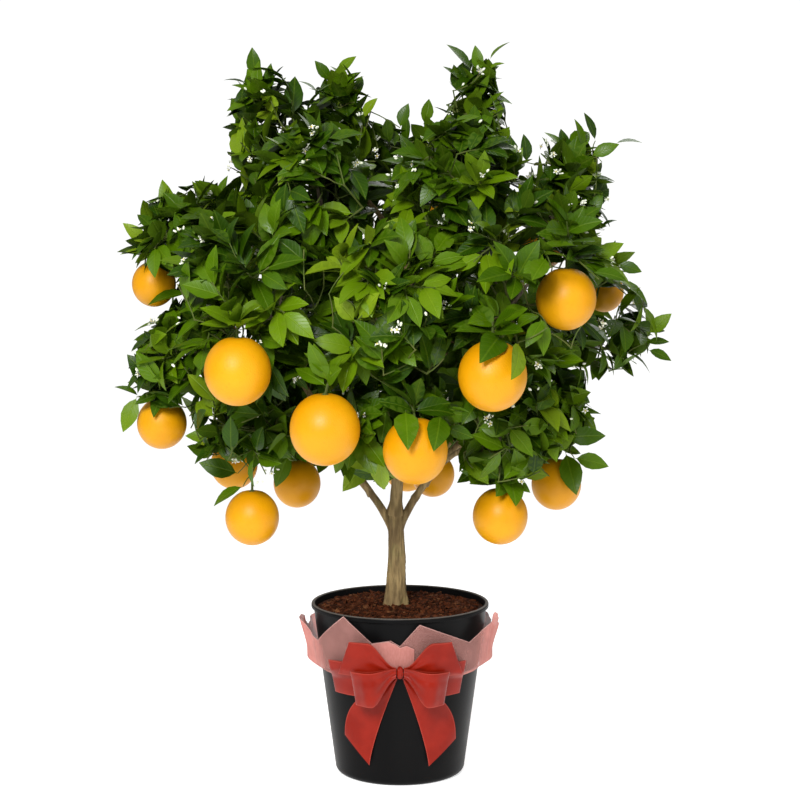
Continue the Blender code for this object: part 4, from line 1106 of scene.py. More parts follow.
# How far leaves may reach in each mass, in its half sizes: the crown is ragged and open at these sides
LEAF_REACH = {"top_left": 0.87, "top_middle": 0.96, "top_right": 0.88, "top_front_left": 1.02,
              "top_front_right": 1.06, "left_upper": 0.89, "left_lower": 0.90, "right_upper": 0.84,
              "right_middle": 0.87, "low_left": 0.87, "low_right": 0.84, "low_front": 0.92,
              "low_front_right": 0.90}


def grow_finer(crown, name, nodes, rng):
    """Carries a mass's twigs on to many finer shoots by the same rule, the nearest to the stem first."""
    targets = [place for place, _, _ in nodes[1:]]
    known = len(targets)
    furthest = FINER_REACH * min(LEAF_REACH.get(name, 1.0), 1.0)
    for _ in range(FINER_SHOOTS):
        target = shoot_target(crown, name, targets, rng, furthest)
        if target is not None and not hides_fruit(crown, target[None])[0]:
            targets.append(target)
    join_all(crown, name, nodes, targets[known:])


def free_ends(nodes):
    parents = {parent for _, parent, _ in nodes}
    return [number for number in range(2, len(nodes)) if number not in parents]


CROWN = Crown(LIMBS)
LEAF_LIMITS = np.array([LEAF_REACH.get(name, 1.0) for name in CROWN.names])
TWIGS = {}
RANDOM = {}
for bough, (_, _, _, _, mass) in BOUGHS.items():
    rng = random.Random(mass)
    limb_points = LIMBS[bough][0]
    heading = unit(limb_points[-1] - limb_points[-2])
    nodes = grow(CROWN, mass, limb_points[-1] + heading * SEAT_GAP, heading, rng)
    source_twigs = len(nodes)
    grow_finer(CROWN, mass, nodes, rng)
    TWIGS[mass], RANDOM[mass] = nodes, rng
    print(f"{mass}: {source_twigs} twigs as packed, {len(nodes)} in all, {len(free_ends(nodes))} shoot ends")

# %% [markdown]
# ## Leaves that stand alone
#
# What gives a crown its outline is single leaves that stand past the rest against the sky, and a few that
# hang over the fruit. A rule doesn't put them where the photo has them, so they are placed one by one, as
# read off the photo: where each starts, where its tip is, and how far its face is turned to the
# camera. The camera turns a point of the photo into a place, once it is told how far back that place lies.
# Each leaf gets a thin shoot of its own, from the nearest twig with a clear way to it.

# %% Places of the single leaves
# Where each leaf starts and where its tip is: pixels from the photo's left and top edge, and millimetres
# back from the trunk. Then how far it is turned, in hundredths
SINGLE_LEAVES = (
    (255.7, 77, -10, 252.3, 46.7, -15, 90), (247, 84, -20, 222.7, 80, -20, 15),
    (256.7, 97, -40, 230.7, 85, -50, 35), (270, 93, -30, 271, 62.3, -30, 60),
    (276, 93, -10, 286.7, 76.7, -10, 30), (256.7, 110, -40, 233.3, 101, -40, 20),
    (248, 133, -30, 228.3, 123, -30, 30), (263, 156, -50, 229, 156, -50, 20),
    (330, 80, 20, 314, 60, 15, 90), (337.7, 75, 20, 357, 55.7, 20, 55),
    (340, 90, 10, 361.7, 71.7, 10, 25), (337, 107, 0, 355, 86, 0, 20),
    (317, 93, 30, 297.7, 80.7, 30, 20), (364, 118, 0, 377.7, 97.7, 0, 50),
    (400, 128, 0, 409, 103, 0, 70), (424, 124, 0, 429, 98, 0, 70),
    (172, 212, -30, 161.7, 179, -30, 80), (218, 207, -10, 228, 175, -10, 40),
    (204, 203, 0, 192, 180.7, 0, 50), (148, 243, -30, 122, 223, -35, 90),
    (152, 254, -50, 119, 255, -50, 20), (162, 322, -20, 133, 332, -20, 20),
    (190, 256, -30, 153, 266, -56, 70), (188, 294, -48, 147, 305, -55, 35),
    (471, 70, 0, 446, 44, 0, 35), (480, 72, -20, 475, 45, -20, 95),
    (489, 60, 0, 511, 41.7, 0, 20), (489, 69, -20, 505, 63, -20, 30),
    (463, 82, 0, 443, 66, 0, 25), (485, 111, -40, 504, 91, -40, 30),
    (484, 124, -50, 506.7, 107.7, -50, 20), (497, 172, -30, 513, 155, -30, 30),
    (526.7, 162, -40, 523, 133, -40, 70), (549, 157, 0, 541.7, 136.7, 0, 20),
    (560, 160, 0, 555, 136, 0, 20), (581, 152, -20, 574, 118, -20, 30),
    (595, 141, -10, 584, 112, -10, 35), (615, 144, -20, 642.7, 143, -20, 15),
    (591, 156, -30, 620, 144, -35, 80), (580, 180, -40, 615.7, 181.7, -40, 20),
    (567, 168, -50, 593, 156.7, -50, 80), (589, 218, -60, 602.7, 191.7, -60, 90),
    (601, 227, -30, 618, 220, -30, 30), (618, 264, -30, 642, 271.7, -35, 80),
    (619, 314, -30, 640.7, 286.7, -30, 40), (648, 338, 0, 645, 313, 0, 40),
    (649, 334, -30, 671.7, 313, -35, 80), (646, 343, -20, 670, 342, -20, 50),
    (648, 350, -40, 671.7, 360.7, -40, 60), (628, 352, -30, 651, 374.3, -30, 15),
    (605, 350, -30, 613.3, 376, -30, 15), (580, 360, -20, 587.7, 386.7, -20, 15),
    (152, 383, -30, 126.7, 354, -35, 90), (165, 366, 0, 138.3, 346, 0, 30),
    (139, 396, 0, 113.3, 386.7, 0, 30), (137, 397, -10, 122.3, 433.3, -15, 90),
    (162, 393, -28, 134, 405, -34, 50), (165, 387, -10, 153.3, 418, -40, 60),
    (214, 402, 0, 199.3, 426.7, 0, 15), (218, 440, -30, 184.3, 436, -30, 70),
    (238, 473, 0, 198.3, 462.3, 0, 95), (243, 486, -80, 213.3, 506.7, -85, 40),
    (254, 458, -120, 255, 488, -125, 30), (290, 452, 40, 275, 488, 40, 90),
    (371, 456, -80, 342.3, 491.7, -80, 90), (558, 401, -30, 591.7, 392.3, -30, 80),
    (549, 420, -20, 591, 418.3, -20, 50), (565, 437, -30, 607, 435.7, -30, 90),
    (574, 458, -20, 609.3, 466.7, -20, 75), (566, 453, 5, 576.7, 496, -22, 90),
    (549, 476, -60, 511.7, 466.7, -60, 90), (484, 468, -60, 456.7, 483.3, -60, 70),
    (507, 472, -95, 516, 507, -142, 70), (507, 477, -105, 531, 493.3, -110, 60),
    (405, 411, -262, 408, 451, -305, 97), (440, 415, -250, 433.5, 452, -290, 85),
    (500, 335, -262, 479, 364, -318, 97), (518, 342, -277, 511, 381, -324, 60),
    (446, 427, -200, 473.3, 438.3, -200, 90),
)
SINGLE_TRIES = 40
SHOOT_STEPS = 8
FINEST_TWIG = 0.0008


def seen_at(across, down, back):
    """The place, to the millimetre, that the camera sees at a point of the photo."""
    right, up = (across - PHOTO_PIXELS / 2) / FOCAL_PIXELS, (PHOTO_PIXELS / 2 - down) / FOCAL_PIXELS
    level = math.cos(CAMERA_PITCH_DOWN) + up * math.sin(CAMERA_PITCH_DOWN)
    rise = up * math.cos(CAMERA_PITCH_DOWN) - math.sin(CAMERA_PITCH_DOWN)
    reach = (back / 1000 - CAMERA_PLACE[1]) / level
    return np.round((right * reach, back / 1000, CAMERA_PLACE[2] + rise * reach), 3)


def shoot_to(root):
    """The nearest place on a twig with a clear way to the root, or the nearest of all if none has one."""
    ranked = sorted((distance(root, place), mass, tuple(place))
                    for mass, nodes in TWIGS.items() for place, _, _ in nodes[2:])
    for _, mass, place in ranked[:SINGLE_TRIES]:
        line = place + (root - place) * np.linspace(0, 1, SHOOT_STEPS)[:, None]
        if not CROWN.touches(mass, line, FINEST_TWIG):
            return np.array(place)
    return np.array(ranked[0][2])


SINGLES = [(seen_at(*row[:3]), seen_at(*row[3:6]), row[6] / 100) for row in SINGLE_LEAVES]
single_shoots = [(shoot_to(root), root) for root, _, _ in SINGLES]
print("single leaves:", len(SINGLES), "longest shoot",
      round(max(distance(start, end) for start, end in single_shoots), 3))

# %% [markdown]
# ## The twigs
#
# Inside the crown the photo shows thin pale grey twigs, and the last few centimetres of each shoot are
# green. Every stretch between two forks is a slender five-sided tube that bends a little and tapers with
# the number of shoots it carries. All of them are worked out at once as arrays and joined in two pieces.

# %% Tubes for all twigs at once
TWIG_SIDES = 5
TWIG_STATIONS = 4
TWIG_THICKENING = 0.36
TWIG_BEND = 0.07
TWIG_OVERLAP = 0.001
STEEP = 0.8
NEARLY_LEVEL = np.array((1.0, 0.2, 0.0))
GREEN_BELOW = 0.00125


def twig_thickness(nodes):
    """The radius at each node: thicker where more shoots hang from it."""
    carried = [0] * len(nodes)
    for number in free_ends(nodes):
        while number >= 0:
            carried[number] += 1
            number = nodes[number][1]
    return [min(BOUGH_TIP_RADIUS, FINEST_TWIG * max(count, 1) ** TWIG_THICKENING) for count in carried]


def bent_tubes(rows):
    """The points and triangles of closed tubes. A row is a start, an end, the radius at each and a bend."""
    starts, ends, bends = rows[:, 0:3], rows[:, 3:6], rows[:, 8:11]
    start_radii, end_radii = rows[:, 6], rows[:, 7]
    ahead = unit_rows(ends - starts)
    side = unit_rows(np.cross(ahead, np.where(np.abs(ahead[:, [2]]) > STEEP, NEARLY_LEVEL, NEARLY_UP)))
    up = np.cross(side, ahead)
    shares = np.linspace(0, 1, TWIG_STATIONS)[None, :, None]
    middles = starts[:, None] + (ends - starts)[:, None] * shares
    middles = middles + bends[:, None] * np.sin(np.pi * shares)
    radii = start_radii[:, None, None] + (end_radii - start_radii)[:, None, None] * shares
    turns = full_turn(TWIG_SIDES)[None, :, None]
    around = side[:, None] * np.cos(turns) + up[:, None] * np.sin(turns)
    points = (middles[:, :, None] + around[:, None] * radii[..., None]).reshape(-1, 3)
    cap = np.array([(0, i + 1, i) for i in range(1, TWIG_SIDES - 1)])
    one_tube = np.concatenate([split_quads(grid_quads(TWIG_STATIONS, TWIG_SIDES)), cap,
                               cap[:, ::-1] + (TWIG_STATIONS - 1) * TWIG_SIDES])
    return points, turned_outward(points, repeated(one_tube, TWIG_STATIONS * TWIG_SIDES, len(rows)))


# %% Twig finishes and pieces
def twig_finish(name, base, over):
    finish = Finish(name, {"Specular IOR Level": 0.12})
    streak = finish.patches(420.0, 0.35, 0.65, (1.0, 1.0, 0.4))
    patch = finish.patches(40.0, 0.4, 0.65)
    colour = finish.tint(finish.tint(base, over, patch), (0.10, 0.08, 0.05), streak, 0.35)
    return finish.into(colour=colour, roughness=finish.range(streak, 0.6, 0.85),
                       normal=finish.bump(streak, 0.0002, 0.6))


stretches = []
for mass, nodes in TWIGS.items():
    radii = twig_thickness(nodes)
    rng = RANDOM[mass]
    for number in range(1, len(nodes)):
        end, parent, _ = nodes[number]
        start = nodes[parent][0]
        bend = random_direction(rng) * distance(end, start) * TWIG_BEND * (number > 1)
        overlap = unit(end - start) * TWIG_OVERLAP
        stretches.append((*(start - overlap * (number > 1)), *(end + overlap),
                          radii[parent], radii[number], *bend))
rng = random.Random("single leaves")
for start, end in single_shoots:
    bend = random_direction(rng) * distance(end, start) * TWIG_BEND
    stretches.append((*start, *end, FINEST_TWIG, FINEST_TWIG * 0.8, *bend))
stretches = np.array(stretches)
for name, chosen, base, over in (
        ("twigs", stretches[:, 7] >= GREEN_BELOW, (0.23, 0.19, 0.13), (0.13, 0.11, 0.07)),
        ("green_shoots", stretches[:, 7] < GREEN_BELOW, (0.060, 0.105, 0.012), (0.100, 0.125, 0.025))):
    dress(new_mesh(name, *bent_tubes(stretches[chosen]), twig_finish(name, base, over)), "foliage")

# %% [markdown]
# ## The leaves
#
# A leaf of this tree is a pointed ellipse about twice as long as wide, four to five centimetres long, thick
# and glossy, with a pale midrib, faint side veins and a lighter dull underside. It springs from the shoot
# on a short stalk, folds up a little along its midrib and arches. Thousands of them make the crown, so one
# is drawn as a closed shape of 48 triangles, and arrays of places, turns and bends put all of them out.
# Five greens are dealt out spray by spray, from the deep green of old wood to the light green of new. The
# deeper greens at the heart of each mass are partly painted shade, and those in the crown's middle as the
# camera sees it are painted shade.

# %% One leaf as a template
LEAF_STATIONS = (0.07, 0.19, 0.36, 0.55, 0.74, 0.89)
LEAF_OUTLINE = (0.05, 0.56, 0.94, 0.98, 0.70, 0.32)
LEAF_THICKNESS = 0.0045


def leaf_template():
    """Shares along and across for each point of a leaf, its triangles and their UV corners."""
    along_share, across_share, layer = [0.0], [0.0], [0.0]
    for station, half in zip(LEAF_STATIONS, LEAF_OUTLINE):
        along_share += [station] * 4
        across_share += [-half, 0.0, half, 0.0]
        layer += [0.0, 0.5, 0.0, -0.5]
    along_share.append(1.0)
    across_share.append(0.0)
    layer.append(0.0)
    tip = len(along_share) - 1
    triangles, sides = [], []
    for side, (left, middle, right) in ((0, (1, 2, 3)), (1, (3, 4, 1))):
        for first, second in ((left, middle), (middle, right)):
            triangles.append((0, first, second))
            for row in range(len(LEAF_STATIONS) - 1):
                a, b = first + 4 * row, second + 4 * row
                triangles += [(a, a + 4, b + 4), (a, b + 4, b)]
            end = 4 * (len(LEAF_STATIONS) - 1)
            triangles.append((first + end, tip, second + end))
            sides += [side] * (2 * len(LEAF_STATIONS))
    triangles = np.array(triangles)
    along_share, across_share = np.array(along_share), np.array(across_share)
    u = along_share[triangles]
    v = across_share[triangles] * 0.49 + 0.5 + np.array(sides)[:, None]
    return along_share, across_share, np.array(layer), triangles, np.stack([u, v], axis=-1)


TEMPLATE = leaf_template()
print("one leaf:", len(TEMPLATE[3]), "triangles")


# %% All leaves from arrays
def leaf_points(rows):
    """The points of every leaf. A row is root, ahead, side, up, then length, width, arch, fold and twist."""
    along_share, across_share, layer, _, _ = TEMPLATE
    root, ahead, side, up = (rows[:, None, i:i + 3] for i in (0, 3, 6, 9))
    length, width, arch, fold, twist = (rows[:, [i]] for i in (12, 13, 14, 15, 16))
    bend = arch * along_share[None]
    forward = length * np.sin(bend) / arch
    drop = -length * (1 - np.cos(bend)) / arch
    reach = length * width / 2 * across_share[None]
    turn = twist * along_share[None]
    across = reach * np.cos(turn)
    lift = reach * np.sin(turn) + np.abs(reach) * fold + layer[None] * LEAF_THICKNESS * length
    return (root + forward[..., None] * ahead + across[..., None] * side
            + (drop + lift)[..., None] * up)


def leaf_mesh(name, rows, finish):
    points = leaf_points(rows)
    _, _, _, triangles, corners = TEMPLATE
    joined = repeated(triangles, points.shape[1], len(rows))
    uv = np.tile(corners.reshape(-1, 2), (len(rows), 1))
    points = points.reshape(-1, 3)
    a, b, c = (points[joined[:, corner]] for corner in range(3))
    if float(np.einsum("ij,ij->i", a - a.mean(axis=0), np.cross(b - a, c - a)).sum()) < 0:
        joined = joined[:, ::-1]
        uv = uv.reshape(-1, 3, 2)[:, ::-1].reshape(-1, 2)
    return new_mesh(name, points, joined, finish, uv, sharp_angle=75)


# %% Where leaves spring
LEAF_LENGTH = (0.040, 0.054)
LEAF_WIDTH = (0.43, 0.52)
LEAVES_TRIED = 15
STALK_LEAVES_TRIED = 40
LEAVES_PER_SHOOT = (8, 11)
SPRAY_LENGTH = 0.050
SPRAY_SHARE = 0.9
SPRAY_CROWDING = 1.3
STALK_SPRAY_CROWDING = 0.5
GOLDEN_TURN = math.radians(137.5)
TURN_SPREAD = 0.3
LEAF_ANGLE = (22, 40)
LEAF_ANGLE_GROWS = 34
STALK_LEAF_ANGLE = (45, 100)
LEAF_OUTWARD = 0.28
LEAF_RISE = (-0.12, 0.34)
LEAF_ARCH = (0.12, 0.75)
LEAF_FOLD = (0.10, 0.34)
LEAF_TWIST = 0.45
# How strongly a leaf's face is drawn outwards, upwards and to any side
FACE_PULLS = (0.75, 0.8, 0.6)
# The leaves at the very end of a shoot are shorter by up to this share
END_LEAVES = 0.2
END_LEAF_SHORTER = 0.18
STALK_TOP_GAP = 0.004
SINGLE_ARCH = (0.35, 0.75)
SINGLE_TWIST = 0.2
SINGLE_SIDE_PULL = 0.3
# How the greens are dealt out to the sprays at the heart of a mass, and to those at its outside. The deeper
# greens at the heart are partly painted shade
TINTS = ("deep", "mid", "fresh", "light", "young")
HEART_WEIGHTS = np.array((0.56, 0.32, 0.10, 0.02, 0.00))
OUTSIDE_WEIGHTS = np.array((0.14, 0.28, 0.32, 0.20, 0.06))
HEART_REACH = 0.40
OUTSIDE_REACH = 0.80
# The middle of the crown's shaded heart as the camera sees it, its size, and how much of the outer greens'
# weighting stays there: the deeper greens there are painted shade
SHADE_MIDDLE = np.array((-0.02, 0.545))
SHADE_SIZE = np.array((0.20, 0.16))
SHADE_NEWNESS = 0.05


def facing(direction, hint):
    """Axes for a piece that runs along direction with its upper side turned to hint."""
    ahead = unit(direction)
    side = unit(np.cross(hint, ahead))
    return ahead, side, np.cross(ahead, side)


def spray(start, end, rng, tried=LEAVES_TRIED, angles=LEAF_ANGLE, grows=LEAF_ANGLE_GROWS,
          crowding=SPRAY_CROWDING):
    """The leaves of one shoot: spread round it by the golden angle, closer to its line near the end."""
    axis = unit(end - start)
    stretch = min(SPRAY_LENGTH, distance(end, start) * SPRAY_SHARE)
    turn = rng.uniform(0, 2 * math.pi)
    outward = unit(end - CROWN_MIDDLE)
    rows = []
    for leaf in range(tried):
        share = leaf / (tried - 1)
        root = end - axis * stretch * share ** crowding
        turn += GOLDEN_TURN + rng.uniform(-TURN_SPREAD, TURN_SPREAD)
        angle = math.radians(rng.uniform(*angles) + grows * share)
        ahead, side, up = facing(axis, NEARLY_UP)
        direction = ahead * math.cos(angle) + (side * math.cos(turn) + up * math.sin(turn)) * math.sin(angle)
        direction = direction + outward * LEAF_OUTWARD + UP * rng.uniform(*LEAF_RISE)
        hint = outward * FACE_PULLS[0] + UP * FACE_PULLS[1] + random_direction(rng) * FACE_PULLS[2]
        length = rng.uniform(*LEAF_LENGTH) * (1 - END_LEAF_SHORTER * (share < END_LEAVES) * rng.random())
        rows.append((*root, *np.concatenate(facing(direction, hint)), length, rng.uniform(*LEAF_WIDTH),
                     rng.uniform(*LEAF_ARCH), rng.uniform(*LEAF_FOLD), rng.uniform(-LEAF_TWIST, LEAF_TWIST)))
    return np.array(rows)


def shuffled(rows, rng):
    """The same rows in a shuffled order, so that the leaves kept are spread over the whole stretch."""
    order = list(range(len(rows)))
    rng.shuffle(order)
    return rows[order]


def stalk_feet(mass):
    """Where each fruit stalk of a mass starts and ends."""
    for owner, anchor, (middle, radius, _) in zip(CROWN.owners, CROWN.anchors, FRUITS):
        if owner == mass:
            yield anchor, np.array(middle) + UP * (radius * FRUIT_TALLNESS + STALK_TOP_GAP)


# %% Which leaves have room
# The share of LEAF_REACH open to a leaf that lies along the crown's surface, and to one that points out
LYING_LEAF_SHARE = 0.86
OUTWARD_LEAF_SHARE = 1.08
STALK_LEAF_REACH = 0.50
FRUIT_CLEARANCE = 0.0015
LIMB_CLEARANCE = 0.0006
STALK_SHARE = 0.2


def has_room(rows, beyond=0.0):
    """True for each leaf that stays in the crown, off the limbs and fruit, and out of the fruits' view."""
    points = leaf_points(rows)
    blade = TEMPLATE[0] > STALK_SHARE
    flat = points[:, blade].reshape(-1, 3)
    per_leaf = (len(rows), int(blade.sum()))
    scaled = (flat[:, None] - CROWN.middles[None]) / CROWN.halves[None]
    span = np.linalg.norm(scaled, axis=2)
    ahead = np.repeat(rows[:, 3:6], per_leaf[1], axis=0)
    outward = np.clip((scaled * ahead[:, None]).sum(axis=2) / np.maximum(span, 1e-6), 0, 1)
    share = LYING_LEAF_SHARE + (OUTWARD_LEAF_SHARE - LYING_LEAF_SHARE) * outward ** 2
    inside = (span < LEAF_LIMITS[None] * share + beyond).any(axis=1)
    gap = np.linalg.norm(flat[:, None] - CROWN.fruit_middles[None], axis=2)
    off_fruit = (gap - CROWN.fruit_radii * FRUIT_TALLNESS > FRUIT_CLEARANCE).all(axis=1)
    off_limbs = gaps_to_segments(flat, CROWN.limbs).min(axis=1) > LIMB_CLEARANCE
    fits = inside & off_fruit & off_limbs & ~hides_fruit(CROWN, flat)
    return fits.reshape(per_leaf).all(axis=1)


def single_leaf(root, tip, turned, rng):
    """One leaf from root to tip, its face turned to the camera by the share told, else seen on its edge."""
    chord = tip - root
    view = unit(CAMERA_PLACE - root)
    across = unit(np.cross(chord, view))
    outward = across[0] * math.copysign(1.0, root[0])
    across = across * math.copysign(1.0, across[2] + SINGLE_SIDE_PULL * outward)
    arch = rng.uniform(*SINGLE_ARCH)
    ahead, side, up = facing(chord, view * turned + across * (1 - turned))
    ahead, up = (ahead * math.cos(arch / 2) + up * math.sin(arch / 2),
                 up * math.cos(arch / 2) - ahead * math.sin(arch / 2))
    return (*root, *ahead, *side, *up, distance(tip, root), rng.uniform(*LEAF_WIDTH), arch,
            rng.uniform(*LEAF_FOLD), rng.uniform(-SINGLE_TWIST, SINGLE_TWIST))


def spray_tint(end, rng):
    """A green for the spray at a shoot's end: the further out it is, the more likely one of the new ones.
    Deeper greens at a mass's heart are partly painted shade, and in the crown's middle as the camera sees it
    they are painted shade.
    """
    reach = float(np.linalg.norm((end - CROWN.middles) / CROWN.halves, axis=1).min())
    newness_and_light = ease((reach - HEART_REACH) / (OUTSIDE_REACH - HEART_REACH))
    # The crown's middle as the camera sees it gets mostly deep greens: painted shade
    shade = float(np.linalg.norm((end[[0, 2]] - SHADE_MIDDLE) / SHADE_SIZE))
    newness_and_light *= SHADE_NEWNESS + (1 - SHADE_NEWNESS) * ease(shade)
    return rng.choices(TINTS, list(HEART_WEIGHTS + (OUTSIDE_WEIGHTS - HEART_WEIGHTS) * newness_and_light))[0]


SPRAYS = {tint: [] for tint in TINTS}
for mass, nodes in TWIGS.items():
    rng = RANDOM[mass]
    proposals = [(nodes[number][0], spray(nodes[nodes[number][1]][0], nodes[number][0], rng), 0.0)
                 for number in free_ends(nodes)]
    for anchor, foot in stalk_feet(mass):
        rows = spray(foot, anchor, rng, STALK_LEAVES_TRIED, STALK_LEAF_ANGLE, 0.0, STALK_SPRAY_CROWDING)
        proposals.append((anchor, shuffled(rows, rng), STALK_LEAF_REACH))
    for end, rows, beyond in proposals:
        rows = rows[has_room(rows, beyond)][:rng.randint(*LEAVES_PER_SHOOT)]
        SPRAYS[spray_tint(end, rng)].append(rows)
rng = random.Random("single leaves")
for root, tip, turned in SINGLES:
    tint = rng.choices(TINTS, list(OUTSIDE_WEIGHTS))[0]
    SPRAYS[tint].append(np.array([single_leaf(root, tip, turned, rng)]))
SPRAYS = {tint: np.concatenate(rows) for tint, rows in SPRAYS.items()}
print("leaves:", {tint: len(rows) for tint, rows in SPRAYS.items()})

# %% The leaves' finish
LEAF_GREENS = {
    "deep": ((0.015, 0.044, 0.0005), (0.022, 0.060, 0.0006)),
    "mid": ((0.032, 0.078, 0.0006), (0.043, 0.098, 0.0008)),
    "fresh": ((0.058, 0.124, 0.001), (0.072, 0.145, 0.0015)),
    "light": ((0.092, 0.172, 0.002), (0.110, 0.190, 0.003)),
    "young": ((0.145, 0.230, 0.006), (0.165, 0.248, 0.009)),
}
SIDE_VEINS = 8.0


def leaf_finish(name, base, over):
    finish = Finish(name, {"Specular IOR Level": 0.16})
    length_share, width_share = finish.surface()
    under = finish.math("GREATER_THAN", width_share, 1.0)
    from_rib = finish.math("ABSOLUTE", finish.math("SUBTRACT", finish.math("FRACT", width_share), 0.5))
    rib = finish.ramp(from_rib, 0.018, 0.045, 1.0, 0.0)
    slant = finish.math("SUBTRACT", length_share, finish.math("MULTIPLY", from_rib, 0.55))
    wave = finish.math("SINE", finish.math("MULTIPLY", slant, SIDE_VEINS * 2 * math.pi))
    veins = finish.ramp(wave, 0.75, 1.0)
    cloud = finish.patches(38.0, 0.36, 0.66)
    colour = finish.tint(base, over, cloud)
    colour = finish.tint(colour, (0.160, 0.250, 0.008), veins, 0.08)
    colour = finish.tint(colour, (0.200, 0.300, 0.015), rib, 0.17)
    colour = finish.tint(colour, (0.090, 0.150, 0.004), under, 0.30)
    height = finish.math("ADD", finish.math("MULTIPLY", rib, -1.0), finish.math("MULTIPLY", veins, -0.35))
    rough = finish.math("ADD", finish.range(cloud, 0.30, 0.42), finish.math("MULTIPLY", under, 0.25))
    return finish.into(colour=colour, roughness=rough, normal=finish.bump(height, 0.0004, 0.8))


LEAVES_PER_PIECE = 4000
nodes_stood_for = [f"foliage_{mass}" for mass in MASSES]
for tint, rows in SPRAYS.items():
    finish = leaf_finish(f"leaf_{tint}", *LEAF_GREENS[tint])
    for number, part in enumerate(np.array_split(rows, math.ceil(len(rows) / LEAVES_PER_PIECE)), start=1):
        dress(leaf_mesh(f"leaves_{tint}_{number}", part, finish), "foliage", *nodes_stood_for)
        nodes_stood_for = []

# %% [markdown]
# ## The fruit
#
# The fruit are round, 52 to 81 mm across, a little taller than wide, golden orange with a finely pitted peel
# and a soft shine. Each hangs from a short stalk that ends in a small green star, the calyx. A sphere alone
# looks like a ball, so the peel dips round the stalk and swells unevenly, and the pits are in the finish.

# %% Fruit, stalks and calyxes
FRUIT_SIDES = 40
FRUIT_BANDS = 26
FRUIT_POLE = 0.03
FRUIT_DIMPLE = 0.075
DIMPLE_WIDTH = 0.22
FRUIT_UNEVENNESS = 0.006
CALYX_RADIUS = 0.0062
CALYX_SIDES = 20
CALYX_POINTS = 5
CALYX_NOTCH = 0.28
# Each ring of the calyx: its share of the calyx's radius, its height and whether it is a star
CALYX_LEVELS = ((0.55, -0.0012, True), (1.0, 0.0002, True), (0.45, 0.0012, False), (0.24, 0.0028, False))
# Each stalk: its radius at the twig and at the fruit, how far up the fruit it ends, and its bend
STALK_RADII = (0.0013, 0.0017)
STALK_FOOT = 0.9
STALK_BEND = 0.002


def fruit_rings(place, radius, seed):
    """Rings of a fruit: a sphere that dips at the stalk and swells a little unevenly."""
    rings = []
    for tilt in np.linspace(FRUIT_POLE, math.pi - FRUIT_POLE, FRUIT_BANDS):
        dip = FRUIT_DIMPLE * math.exp(-((tilt / DIMPLE_WIDTH) ** 2))
        lobes = FRUIT_UNEVENNESS * np.sin(3 * full_turn(FRUIT_SIDES) + seed) * math.sin(tilt) ** 2
        reach = radius * (1 - dip + lobes)
        height = reach * math.cos(tilt) * FRUIT_TALLNESS
        rings.append(level_ring(reach * math.sin(tilt), height, FRUIT_SIDES) + place)
    return np.array(rings)


def calyx_rings(place, radius):
    """A small pointed star that sits in the fruit's dip. Its upper rings are round."""
    star = 1 - CALYX_NOTCH + CALYX_NOTCH * np.cos(CALYX_POINTS * full_turn(CALYX_SIDES))
    top = np.array(place) + UP * radius * FRUIT_TALLNESS * (1 - FRUIT_DIMPLE)
    return np.array([level_ring(CALYX_RADIUS * share * (star if notched else 1.0), lift, CALYX_SIDES) + top
                     for share, lift, notched in CALYX_LEVELS])


def peel_finish():
    finish = Finish("golden_peel", {"Specular IOR Level": 0.26})
    warm = finish.patches(16.0, 0.35, 0.68)
    fleck = finish.patches(220.0, 0.56, 0.72)
    colour = finish.tint((0.640, 0.272, 0.0004), (0.680, 0.310, 0.0006), warm)
    colour = finish.tint(colour, (0.56, 0.205, 0.0005), fleck, 0.22)
    return finish.into(colour=colour, roughness=finish.range(warm, 0.38, 0.46),
                       normal=finish.pits(620.0, 0.00022, 0.45))


fruit_parts = [ring_solid(fruit_rings(np.array(place), radius, number))
               for number, (place, radius, _) in enumerate(FRUITS)]
dress(new_mesh("fruit", *join_arrays(fruit_parts), peel_finish()), "foliage")

stalk_feet_high = CROWN.fruit_radii[:, None] * UP * FRUIT_TALLNESS * STALK_FOOT
stalk_rows = [(*anchor, *foot, *STALK_RADII, *(UP * STALK_BEND))
              for anchor, foot in zip(CROWN.anchors, CROWN.fruit_middles + stalk_feet_high)]
calyxes = [ring_solid(calyx_rings(place, radius)) for place, radius, _ in FRUITS]
stalk_green = twig_finish("stalk_green", (0.045, 0.080, 0.010), (0.070, 0.095, 0.020))
dress(new_mesh("fruit_stalks", *join_arrays([bent_tubes(np.array(stalk_rows)), *calyxes]), stalk_green),
      "foliage")

# %% [markdown]
# ## The blossom
#
# Small clusters of white blossom stand at the ends of some shoots: open flowers of five narrow petals
# round a yellow heart, and closed buds. They repeat, so Geometry Nodes place them: a mesh of loose points
# carries the direction that each flower looks in, and the tree puts one shape on every point. It runs
# three times, for petals, hearts and buds.

# %% Points for the blossom
CLUSTERS_PER_MASS = 18
OUTER_SHOOTS = 36
FLOWERS_PER_CLUSTER = (1, 2)
BUDS_PER_CLUSTER = (3, 6)
CLUSTER_RADIUS = 0.0065
CLUSTER_OUTWARD = 0.009
CLUSTER_SPREAD = (0.5, 1.3)
# How strongly a flower looks along its shoot, outwards and to any side
FLOWER_PULLS = (0.9, 0.5, 0.9)
BLOSSOM_REACH = 0.90


def among_leaves(place):
    """True where leaves stand round a place, so that no flower hangs in the open air beside the crown."""
    span = np.linalg.norm((place - CROWN.middles) / CROWN.halves, axis=1)
    return bool((span < BLOSSOM_REACH * LEAF_LIMITS).any())


def cluster_points(end, axis, count, rng):
    """Places round a shoot's end and the directions the flowers look in."""
    found = []
    for _ in range(count):
        outward, sideways = unit(end - CROWN_MIDDLE), random_direction(rng)
        aim = unit(axis * FLOWER_PULLS[0] + outward * FLOWER_PULLS[1] + sideways * FLOWER_PULLS[2])
        place = end + aim * CLUSTER_RADIUS * rng.uniform(*CLUSTER_SPREAD)
        if among_leaves(place) and not hides_fruit(CROWN, place[None])[0]:
            found.append((place, aim))
    return found


